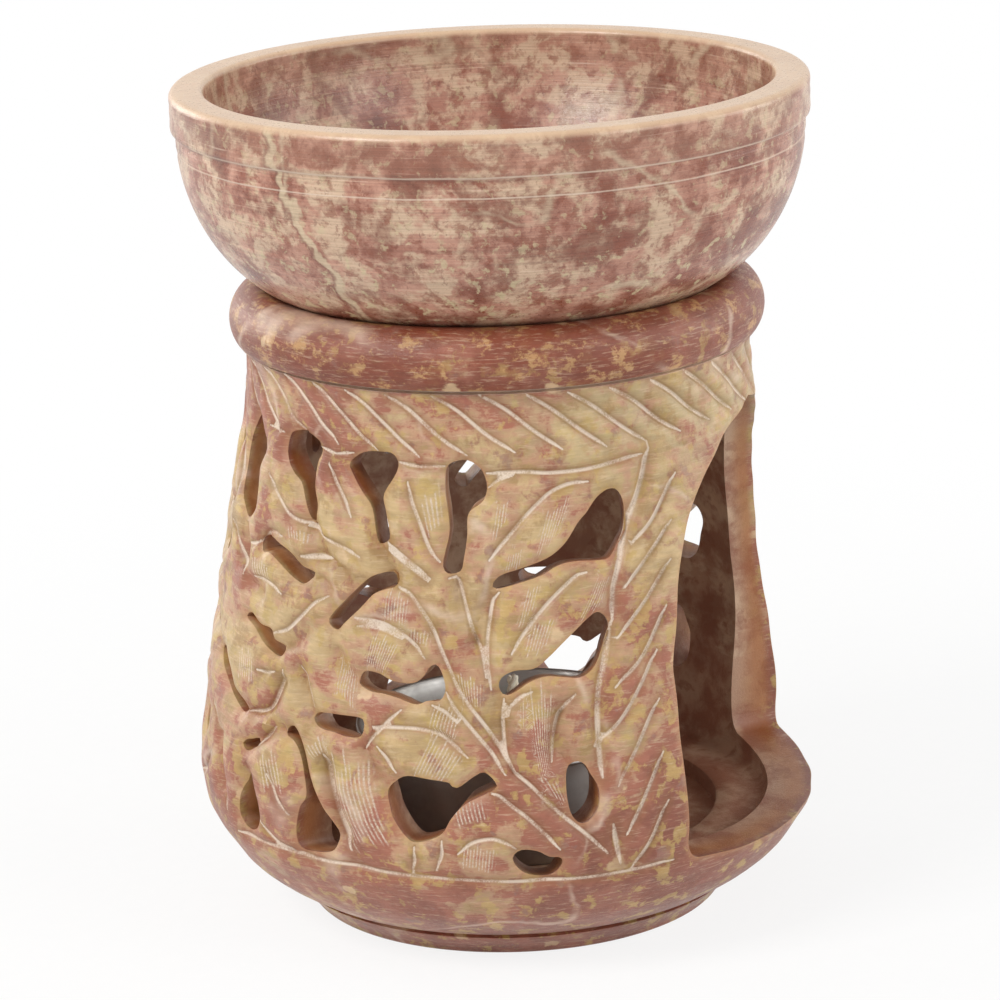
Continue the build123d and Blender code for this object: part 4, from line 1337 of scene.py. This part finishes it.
def finish_tree(tree, geometry, into, out):
    """Ends a tree with real geometry in its material."""
    real = add(tree, "GeometryNodeRealizeInstances", {0: geometry}).outputs[0]
    done = add(tree, "GeometryNodeSetMaterial", {"Geometry": real, "Material": into["Material"]})
    tree.links.new(done.outputs[0], out[0])


def engrave_tree():
    """Cuts valleys along stroke lines into the faces near them, and marks the gouge's path and the valleys'
    slopes, where the stone gets painted shade.
    """
    tree, into, out = new_tree("Engrave Strokes", "GeometryNodeTree", {
        "Geometry": "Geometry", "Strokes": "Object", "Width": 0.0004, "Valley": 0.0016,
        "Depth": 0.0003, "Dust": 1.0, "Shade": 1.0, "Material": "Material"}, {"Geometry": "Geometry"})
    tree.is_modifier = True
    strokes = add(tree, "GeometryNodeObjectInfo", {"Object": into["Strokes"]},
                  transform_space="ORIGINAL").outputs["Geometry"]
    place = add(tree, "GeometryNodeInputPosition").outputs[0]
    uncut = named(tree, "uncut", "FLOAT_VECTOR")
    gap = add(tree, "GeometryNodeProximity", {0: strokes, "Sample Position": uncut},
              target_element="EDGES").outputs["Distance"]
    nearest = add(tree, "GeometryNodeSampleNearest", {0: strokes, 1: uncut}, domain="POINT").outputs[0]
    taper = add(tree, "GeometryNodeSampleIndex", {"Geometry": strokes, "Value": named(tree, "taper"),
                "Index": nearest}, data_type="FLOAT", domain="POINT").outputs[0]
    half = times(tree, into["Width"], 0.5,
                calc(tree, "MULTIPLY_ADD", taper, 0.6, 0.4))
    wide = times(tree, into["Valley"], 0.5)
    slope = under_one(tree, calc(tree, "DIVIDE", gap, wide))
    groove = calc(tree, "POWER", slope, 1.6)
    face = under_one(tree, times(tree, named(tree, "depth"), 6.0))
    cut = times(tree, groove, face,
               times(tree, into["Depth"], taper))
    move = from_axis(tree, place, times(tree, cut, -1.0))
    reach = times(tree, half, 4.0)
    path = under_one(tree, calc(tree, "DIVIDE", gap, reach))
    dusty = times(tree, path, face, into["Dust"])
    stored = store_higher(tree, into["Geometry"], "cut", dusty)
    # How much painted shade each point of a valley's slope gets.
    shaded = times(tree, slope, face, into["Shade"])
    marked = store_higher(tree, stored, "valley", shaded)
    moved = add(tree, "GeometryNodeSetPosition", {"Geometry": marked, "Offset": move}).outputs[0]
    finish_tree(tree, moved, into, out)
    return tree


def turned_tree():
    """Turns a half outline, given as a row of points in the XZ plane, round the Z axis."""
    tree, into, out = new_tree("Turned Piece", "GeometryNodeTree", {
        "Geometry": "Geometry", "Steps Round": 128, "Unevenness": 0.0, "Waves": 90.0,
        "Material": "Material"}, {"Geometry": "Geometry"})
    tree.is_modifier = True
    count = add(tree, "GeometryNodeAttributeDomainSize", {0: into["Geometry"]},
                component="MESH").outputs["Point Count"]
    columns = plus(tree, into["Steps Round"], 1.0)
    grid = add(tree, "GeometryNodeMeshGrid", {"Vertices X": columns, "Vertices Y": count}).outputs[0]
    index = add(tree, "GeometryNodeInputIndex").outputs[0]
    row = calc(tree, "MODULO", index, count)
    column = calc(tree, "FLOOR", calc(tree, "DIVIDE", plus(tree, index, 0.5), count))
    place = add(tree, "GeometryNodeInputPosition").outputs[0]
    drawn = add(tree, "GeometryNodeSampleIndex", {"Geometry": into["Geometry"], "Value": place,
                "Index": row}, data_type="FLOAT_VECTOR", domain="POINT").outputs[0]
    turn = times(tree, calc(tree, "DIVIDE", column, into["Steps Round"]), math.tau)
    spun = add(tree, "ShaderNodeVectorRotate", {"Vector": drawn, "Angle": turn},
               rotation_type="Z_AXIS").outputs[0]
    laid = add(tree, "GeometryNodeSetPosition", {"Geometry": grid, "Position": spun}).outputs[0]
    closed = add(tree, "GeometryNodeMergeByDistance", {"Geometry": laid, "Distance": 2e-6}).outputs[0]
    waves = noise(tree, place, into["Waves"], 2.0)[0]
    amount = times(tree, waves, -1.0, into["Unevenness"])
    shift = from_axis(tree, place, amount)
    uneven = add(tree, "GeometryNodeSetPosition", {"Geometry": closed, "Offset": shift}).outputs[0]
    smooth = add(tree, "GeometryNodeSetShadeSmooth", {"Geometry": uneven}).outputs[0]
    finish_tree(tree, smooth, into, out)
    return tree


def run_tree(obj, tree, **values):
    """Adds a tree to an object as a modifier, with its named inputs set."""
    modifier = obj.modifiers.new(tree.name, "NODES")
    modifier.node_group = tree
    sockets = {item.name: item.identifier for item in tree.interface.items_tree
               if item.item_type == "SOCKET" and item.in_out == "INPUT"}
    for label, value in values.items():
        modifier[sockets[label.replace("_", " ")]] = value


def plain_piece(source, name, sharp):
    """The evaluated object as a plain mesh piece that faces outwards."""
    graph = bpy.context.evaluated_depsgraph_get()
    mesh = bpy.data.meshes.new_from_object(source.evaluated_get(graph), depsgraph=graph)
    bpy.data.objects.remove(source)
    if len(mesh.polygons) == 0:
        raise RuntimeError(name + " came out empty")
    mesh.name = name
    mesh.calc_loop_triangles()
    faces = read_values(mesh.loop_triangles, "vertices", 3, int)
    a, b, c = read_values(mesh.vertices, "co", 3)[faces].transpose(1, 0, 2)
    if np.einsum("ij,ij->i", a, np.cross(b, c)).sum() < 0:
        mesh.flip_normals()
    mesh.shade_smooth()
    mesh.set_sharp_from_angle(angle=math.radians(sharp))
    return placed(name, mesh)


# Distance between a stroke's points, and the length over which its ends fade.
STROKE_SPACING = 0.4
STROKE_FADE = 1.4


def stroke_object(name, lines):
    """Stroke lines as edges on the wall, each fading in and out at its ends."""
    points, edges, taper = [], [], []
    for line in lines:
        run = smooth_line(line, STROKE_SPACING)
        start = len(points)
        points.extend((round_wall(run, body_at(run[:, 1])) * MM).tolist())
        edges.extend((start + k, start + k + 1) for k in range(len(run) - 1))
        from_end = np.minimum(np.arange(len(run)), np.arange(len(run))[::-1]) * STROKE_SPACING
        taper.extend(np.clip(from_end / STROKE_FADE, 0.12, 1.0).tolist())
    mesh = bpy.data.meshes.new(name)
    mesh.from_pydata(points, edges, [])
    write_values(mesh, "taper", taper)
    return placed(name, mesh)


def turned_piece(name, outline_points, material, steps, sharp, unevenness=0.0, waves=90.0):
    """A piece turned from its half outline, in millimetres, by the turned tree."""
    mesh = bpy.data.meshes.new(name + "_outline")
    points = [(r * MM, 0, z * MM) for r, z in outline_points]
    mesh.from_pydata(points, [(k, k + 1) for k in range(len(points) - 1)], [])
    source = placed(name + "_source", mesh)
    run_tree(source, shared["turned"], Steps_Round=steps, Unevenness=unevenness, Waves=waves,
             Material=material)
    return plain_piece(source, name, sharp)


shared = {}


def prepare(scene):
    """Builds the node groups and the stone materials once."""
    if not shared:
        groups = shader_groups()
        look = scene.burner_stone
        shared["engrave"] = engrave_tree()
        shared["turned"] = turned_tree()
        shared["stand"] = stand_material(groups, look)
        shared["bowl"] = bowl_material(groups, look)
        shared["cup"] = metal_material(groups, "cup_metal")
        shared["sustainer"] = metal_material(groups, "sustainer_metal")
        shared["wax"] = wax_material(groups)
        shared["wick"] = wick_material(groups)


def arc(middle, width, height, start, end, steps):
    """Points on part of an ellipse, angles in degrees."""
    turns = (math.radians(start + (end - start) * k / steps) for k in range(steps + 1))
    return [(middle[0] + width * math.cos(t), middle[1] + height * math.sin(t)) for t in turns]


def bowl_outline():
    """Half outline of the bowl, from the middle of its foot round to its inside."""
    foot, swell_top, scored, half_line, deep = 74.02, 94.97, 92.87, 0.35, 0.14
    swell = arc((19, swell_top), 18, swell_top - foot, 270, 356, 44)
    line = [(r - deep * max(0, 1 - abs(z - scored) / half_line), z) for r, z in swell]
    under_band = [(36.97, 94.37), (36.9, 94.77), (36.95, 95.02), (37.3, 95.22), (37.5, 95.47)]
    band = [(37.55, 95.87), (37.5, 96.77), (37.54, 97.57), (37.5, 98.37), (37.55, 98.97)]
    outer = arc((36.65, 99.07), 0.9, 0.9, 0, 90, 9)
    flat = [(36.0, 99.97), (35.2, 99.96)]
    inner = arc((34.15, 99.27), 0.7, 0.7, 90, 180, 7)
    inside_wall = arc((15, 99.27), 18.45, 20.45, 360, 270, 40)[1:]
    return ([(0, foot), (8, foot), (15, foot), (18.4, foot)] + line + under_band + band + outer
            + flat + inner + inside_wall + [(11, 78.82), (6, 78.82), (2, 78.82), (0, 78.82)])


def cup_outline():
    """Half outline of the pressed cup: stepped base, tapered side and curled lip."""
    base = [(0, 8.16), (12.2, 8.16), (12.7, 8.02), (13.2, 8.0), (17.3, 8.0), (17.7, 8.08), (17.92, 8.4)]
    (r, z), wider, taller, rows = base[-1], 0.56, 11.7, 12
    side = [(r + wider * k / rows, z + taller * k / rows) for k in range(1, rows + 1)]
    lip = arc((18.7, 20.7), 0.28, 0.3, -120, 150, 10)
    well = [(18.1, 20.4), (17.98, 18), (17.75, 13), (17.55, 9), (17.4, 8.55), (17.1, 8.4)]
    return base + side + lip + well + [(12, 8.4), (6, 8.4), (0, 8.4)]


def wax_outline():
    """Half outline of the wax, with room for the wick and for the disc that holds it."""
    side = [(6.15, 8.42), (12, 8.42), (17.05, 8.42), (17.25, 8.6), (17.5, 14.4), (17.6, 16.9)]
    brim = [(17.55, 17.5), (17.4, 17.66), (16.9, 17.74), (15.8, 17.84), (14, 17.88), (11, 17.84)]
    dish = [(8.5, 17.72), (6, 17.5), (4, 17.34), (2.4, 17.3), (1.6, 17.42), (1.2, 17.5), (0.97, 17.4)]
    bore = [(0.96, 14), (0.96, 11.96), (1.85, 11.96), (1.85, 8.97), (4, 8.97), (6.15, 8.97), (6.15, 8.42)]
    return side + brim + dish + bore


# The wick in millimetres: its foot's height, its length, the straight part in the wax, and how
# far the bent part reaches. Then its strands: how many, their radius and their twists.
WICK_FOOT = 8.8
WICK_LENGTH = 17.3
WICK_STRAIGHT = 9.5
WICK_RISE = 7.75
WICK_LEAN = math.radians(12)
STRANDS = 3
STRAND_RADIUS = 0.36
STRAND_TWISTS = 4.5
STRAND_STEPS = 90


def wick_path(share):
    """The wick's middle line: straight in the wax, then bent over to one side."""
    length = WICK_LENGTH * share
    if length < WICK_STRAIGHT:
        return Vector((0, 0, WICK_FOOT + length))
    bent = WICK_LENGTH - WICK_STRAIGHT
    past = (length - WICK_STRAIGHT) / bent
    lean = WICK_LEAN * min(1, past * 1.6)
    return Vector((bent * past * math.sin(lean), 0,
                   WICK_FOOT + WICK_STRAIGHT + WICK_RISE * past * math.cos(lean)))


def build_wick():
    """Three cotton strands twisted round each other."""
    data = bpy.data.curves.new("wick_strands", "CURVE")
    data.dimensions = "3D"
    data.bevel_depth = STRAND_RADIUS * MM
    data.bevel_resolution = 3
    data.use_fill_caps = True
    for strand in range(STRANDS):
        spline = data.splines.new("POLY")
        spline.points.add(STRAND_STEPS)
        for k in range(STRAND_STEPS + 1):
            share = 0.02 + 0.96 * k / STRAND_STEPS
            turn = math.tau * (strand / STRANDS + STRAND_TWISTS * share)
            off_middle = STRAND_RADIUS if share < 0.97 else 0.3
            point = wick_path(share) + Vector((math.cos(turn), math.sin(turn), 0)) * off_middle
            spline.points[k].co = (*(point * MM), 1)
    piece = plain_piece(placed("wick_source", data), "braided_wick", 60)
    piece.data.materials.clear()
    piece.data.materials.append(shared["wick"])
    return piece


def length_property(name, description, default, **limits):
    """A size that the panel shows as a length."""
    return FloatProperty(name=name, description=description, default=default, precision=5,
                         subtype="DISTANCE", unit="LENGTH", **limits)


class BurnerCarving(bpy.types.PropertyGroup):
    """Sizes of the carving on the stand."""

    mesh_spacing: length_property(
        "Mesh Spacing", "Distance between the points of the carved wall", 0.00062,
        min=0.0004, max=0.003)
    line_width: length_property("Line Width", "Width of the narrow gouge's path", 0.0006)
    line_valley: length_property(
        "Line Valley", "Width of the slopes on both sides of a narrow line", 0.0024)
    line_depth: length_property("Line Depth", "Depth of the narrow lines", 0.0005)
    bold_width: length_property("Bold Line Width", "Width of the wide gouge's path", 0.00088)
    bold_valley: length_property(
        "Bold Line Valley", "Width of the slopes on both sides of a bold line", 0.0036)
    bold_depth: length_property("Bold Line Depth", "Depth of the bold lines", 0.0008)
    scoop_valley: length_property("Scoop Valley", "Width of the hollows between the leaves", 0.0046)
    scoop_depth: length_property("Scoop Depth", "Depth of the hollows between the leaves", 0.0011)


def colour_property(name, description, swatch):
    """A colour that starts as a swatch of 0 to 255."""
    return FloatVectorProperty(name=name, description=description, default=srgb(*swatch),
                               subtype="COLOR", size=4, min=0.0, max=1.0)


class BurnerStone(bpy.types.PropertyGroup):
    """Colours of the stone."""

    ochre: colour_property("Ochre", "Main colour of the carved wall", (183, 154, 108))
    pale_ochre: colour_property("Pale Ochre", "Lighter clouds in the wall", (203, 176, 132))
    peach: colour_property("Peach", "Borders of the red patches", (184, 141, 114))
    red: colour_property("Red", "Patches near the foot, the door and the collar", (156, 94, 76))
    deep_red: colour_property("Deep Red", "Middles of the red patches", (130, 76, 60))
    # Walls of the openings: their stone, and a painted glow of light through it.
    cut_stone: colour_property("Cut Stone", "Walls of the openings", (150, 88, 44))
    chalk: colour_property("Chalk", "Dust in the gouge's path", (226, 210, 193))
    rose: colour_property("Rose", "Main colour of the bowl", (166, 116, 98))
    cream: colour_property("Cream", "Light patches of the bowl", (208, 184, 156))
    rust: colour_property("Rust", "Dark patches of the bowl", (118, 56, 38))


def power_property(name, description, default):
    """The power of a lamp."""
    return FloatProperty(name=name, description=description, default=default, min=0.0, unit="POWER")


class BurnerStage(bpy.types.PropertyGroup):
    """The stage round the burner."""

    key_power: power_property("Key Power", "Power of the lamp above on the left", 2.8)
    fill_power: power_property("Fill Power", "Power of the lamp on the right", 1.4)
    edge_power: power_property("Edge Power", "Power of each of the two lamps behind the burner", 1.1)
    sky: FloatProperty(
        name="Room Light", description="Brightness of the white room round the burner",
        default=0.4, min=0.0, max=2.0)
    lens: FloatProperty(
        name="Lens", description="Focal length of the camera, in millimetres",
        default=149.57, min=10.0, max=400.0)


class BURNER_OT_stand(bpy.types.Operator):
    """Carves the pierced stand out of one stone"""

    bl_idname = "burner.stand"
    bl_label = "Carve the Stand"

    def execute(self, context):
        prepare(context.scene)
        sizes = context.scene.burner_carving
        mesh = build_stand_mesh(sizes)
        mesh.materials.append(shared["stand"])
        source = placed("stand_source", mesh)
        narrow, bold, scoops = stroke_lines()
        # Each tool: its name, strokes, width, valley, depth, chalk dust, and how much painted shade its
        # valleys get.
        tools = [
            ("leaf_scoops", scoops, sizes.line_width, sizes.scoop_valley, sizes.scoop_depth, 0.0, 0.6),
            ("bold_lines", bold, sizes.bold_width, sizes.bold_valley, sizes.bold_depth, 1.0, 1.0),
            ("narrow_lines", narrow, sizes.line_width, sizes.line_valley, sizes.line_depth, 1.0, 1.0),
        ]
        strokes = []
        for label, lines, width, valley, depth, dust, shade in tools:
            strokes.append(stroke_object(label, lines))
            run_tree(source, shared["engrave"], Strokes=strokes[-1], Width=width, Valley=valley,
                     Depth=depth, Dust=dust, Shade=shade, Material=shared["stand"])
        stand = plain_piece(source, "carved_stand", 38)
        for used in strokes:
            bpy.data.objects.remove(used)
        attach(stand, "stand")
        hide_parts("stand")
        return {"FINISHED"}


class BURNER_OT_bowl(bpy.types.Operator):
    """Turns the oil bowl that lies loose on the collar"""

    bl_idname = "burner.bowl"
    bl_label = "Turn the Bowl"

    def execute(self, context):
        prepare(context.scene)
        bowl = turned_piece("turned_bowl", bowl_outline(), shared["bowl"], 256, 50, 0.00005, 130.0)
        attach(bowl, "bowl")
        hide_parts("oil_bowl")
        return {"FINISHED"}


class BURNER_OT_tealight(bpy.types.Operator):
    """Makes the tealight's cup, wax and wick, and gives the disc that holds the wick its metal"""

    bl_idname = "burner.tealight"
    bl_label = "Make the Tealight"

    def execute(self, context):
        prepare(context.scene)
        cup = turned_piece("pressed_cup", cup_outline(), shared["cup"], 160, 40)
        wax = turned_piece("poured_wax", wax_outline(), shared["wax"], 128, 50)
        wick = build_wick()
        for piece, node, slot in (
            (cup, "tealight_cup", "cup_metal"),
            (wax, "tealight_wax", "wax"),
            (wick, "tealight_wick", "wick"),
        ):
            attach(piece, "tealight")
            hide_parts(node)
        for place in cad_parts["wick_sustainer"].material_slots:
            place.material = shared["sustainer"]
        return {"FINISHED"}


# The lamps and the camera look at this place, half-way up the burner.
AIM = Vector((0, 0, 0.05))
# Angles in degrees, the distance in metres, and the sensor's shift as shares of its width.
CAMERA_UP = 15.55
CAMERA_ROLL = 1.99
CAMERA_DISTANCE = 0.4996
CAMERA_SHIFT = (-0.0031, -0.0132)
SENSOR_WIDTH = 36.0
FLOOR_HALF = 2
# Each lamp's name, place, size, setting for its power, and colour.
LAMPS = [
    ("key_lamp", (-0.41, 0.31, 0.5), 0.26, "key_power", (1.0, 0.98, 0.95)),
    ("fill_lamp", (-0.2, -0.6, 0.35), 0.35, "fill_power", (1.0, 0.99, 0.97)),
    ("left_edge_lamp", (0.28, 0.55, 0.2), 0.3, "edge_power", (1.0, 0.97, 0.9)),
    ("right_edge_lamp", (0.28, -0.55, 0.2), 0.3, "edge_power", (1.0, 0.97, 0.9)),
]


def lamp(name, place, size, power, colour):
    """A soft square lamp that faces the burner."""
    data = bpy.data.lights.new(name, "AREA")
    data.shape = "SQUARE"
    data.size = size
    data.energy = power
    data.color = colour
    place = Vector(place)
    turn = (AIM - place).to_track_quat("-Z", "Y").to_matrix().to_4x4()
    placed(name, data).matrix_world = Matrix.Translation(place) @ turn


def white_to_view(tree):
    """1 for what the camera sees directly, in a reflection or through something clear."""
    path = add(tree, "ShaderNodeLightPath").outputs
    seen = calc(tree, "MAXIMUM", path["Is Camera Ray"], path["Is Glossy Ray"])
    return calc(tree, "MAXIMUM", seen, path["Is Transmission Ray"])


def pale_floor():
    """A matt paper floor that shows white further out."""
    corners = [(x * FLOOR_HALF, y * FLOOR_HALF, 0) for x, y in ((-1, -1), (1, -1), (1, 1), (-1, 1))]
    mesh = bpy.data.meshes.new("floor")
    mesh.from_pydata(corners, [], [(0, 1, 2, 3)])
    paper = bpy.data.materials.new("floor_paper")
    paper.use_nodes = True
    tree = paper.node_tree
    tree.nodes.clear()
    place = add(tree, "ShaderNodeTexCoord").outputs["Object"]
    tone = ramp(tree, noise(tree, place, 400.0, 3.0)[0], 0.3, 0.7, 0.93, 0.96)
    matt = add(tree, "ShaderNodeBsdfDiffuse", {"Color": grey(tree, tone)}).outputs[0]
    glow = add(tree, "ShaderNodeEmission", {"Color": (1, 1, 1, 1), "Strength": 1.0}).outputs[0]
    away = vector_math(tree, "LENGTH", place)
    share = times(tree, white_to_view(tree), ramp(tree, away, 0.05, 0.22, 0.84, 1.0))
    both = add(tree, "ShaderNodeMixShader", {0: share, 1: matt, 2: glow}).outputs[0]
    add(tree, "ShaderNodeOutputMaterial", {"Surface": both})
    mesh.materials.append(paper)
    return placed("floor", mesh)


def white_room(sky):
    """A world that lights the burner softly and looks white."""
    world = bpy.data.worlds.new("white_room")
    world.use_nodes = True
    tree = world.node_tree
    level = calc(tree, "MULTIPLY_ADD", white_to_view(tree), 1.0 - sky, sky)
    back = tree.nodes["Background"]
    back.inputs["Color"].default_value = (1, 1, 1, 1)
    tree.links.new(level, back.inputs["Strength"])
    return world


def photo_camera(lens):
    """The camera at the photographed view."""
    data = bpy.data.cameras.new("photo_camera")
    data.lens = lens
    data.sensor_width = SENSOR_WIDTH
    data.shift_x, data.shift_y = CAMERA_SHIFT
    round_to, up_by, roll = (math.radians(v) for v in (-DOOR_TURN, CAMERA_UP, CAMERA_ROLL))
    back = Vector((math.sin(round_to) * math.cos(up_by), -math.cos(round_to) * math.cos(up_by),
                   math.sin(up_by)))
    right = (-back).cross(Vector((0, 0, 1))).normalized()
    up = right.cross(-back)
    side = right * math.cos(roll) - up * math.sin(roll)
    top = right * math.sin(roll) + up * math.cos(roll)
    turn = Matrix((side, top, back)).transposed().to_4x4()
    camera = placed("photo_camera", data)
    camera.matrix_world = Matrix.Translation(AIM + back * CAMERA_DISTANCE) @ turn
    return camera


class BURNER_OT_stage(bpy.types.Operator):
    """Sets the pale floor, the soft lamps and the camera"""

    bl_idname = "burner.stage"
    bl_label = "Set the Stage"

    def execute(self, context):
        scene = context.scene
        stage = scene.burner_stage
        scene.view_settings.view_transform = "Standard"
        floor = pale_floor()
        scene.world = white_room(stage.sky)
        for name, place, size, power, colour in LAMPS:
            lamp(name, place, size, getattr(stage, power), colour)
        scene.camera = photo_camera(stage.lens)
        return {"FINISHED"}


class BURNER_PT_panel(bpy.types.Panel):
    """Sizes, colours and steps of the oil burner"""

    bl_idname = "BURNER_PT_panel"
    bl_label = "Stone Oil Burner"
    bl_space_type = "VIEW_3D"
    bl_region_type = "UI"
    bl_category = "Oil Burner"

    def draw(self, context):
        scene = context.scene
        for settings in (scene.burner_carving, scene.burner_stone, scene.burner_stage):
            box = self.layout.box()
            for label in settings.__annotations__:
                box.prop(settings, label)
        for step in STEPS:
            self.layout.operator(step.bl_idname)


SETTINGS = {"burner_carving": BurnerCarving, "burner_stone": BurnerStone, "burner_stage": BurnerStage}
STEPS = (BURNER_OT_stage, BURNER_OT_stand, BURNER_OT_bowl, BURNER_OT_tealight)


def register():
    for kind in (*SETTINGS.values(), *STEPS, BURNER_PT_panel):
        bpy.utils.register_class(kind)
    for label, kind in SETTINGS.items():
        setattr(bpy.types.Scene, label, PointerProperty(type=kind))


def unregister():
    for label in SETTINGS:
        delattr(bpy.types.Scene, label)
    for kind in reversed((*SETTINGS.values(), *STEPS, BURNER_PT_panel)):
        bpy.utils.unregister_class(kind)


def main():
    register()
    bpy.ops.burner.stage()
    bpy.ops.burner.stand()
    bpy.ops.burner.bowl()
    bpy.ops.burner.tealight()


if __name__ == "__main__":
    main()
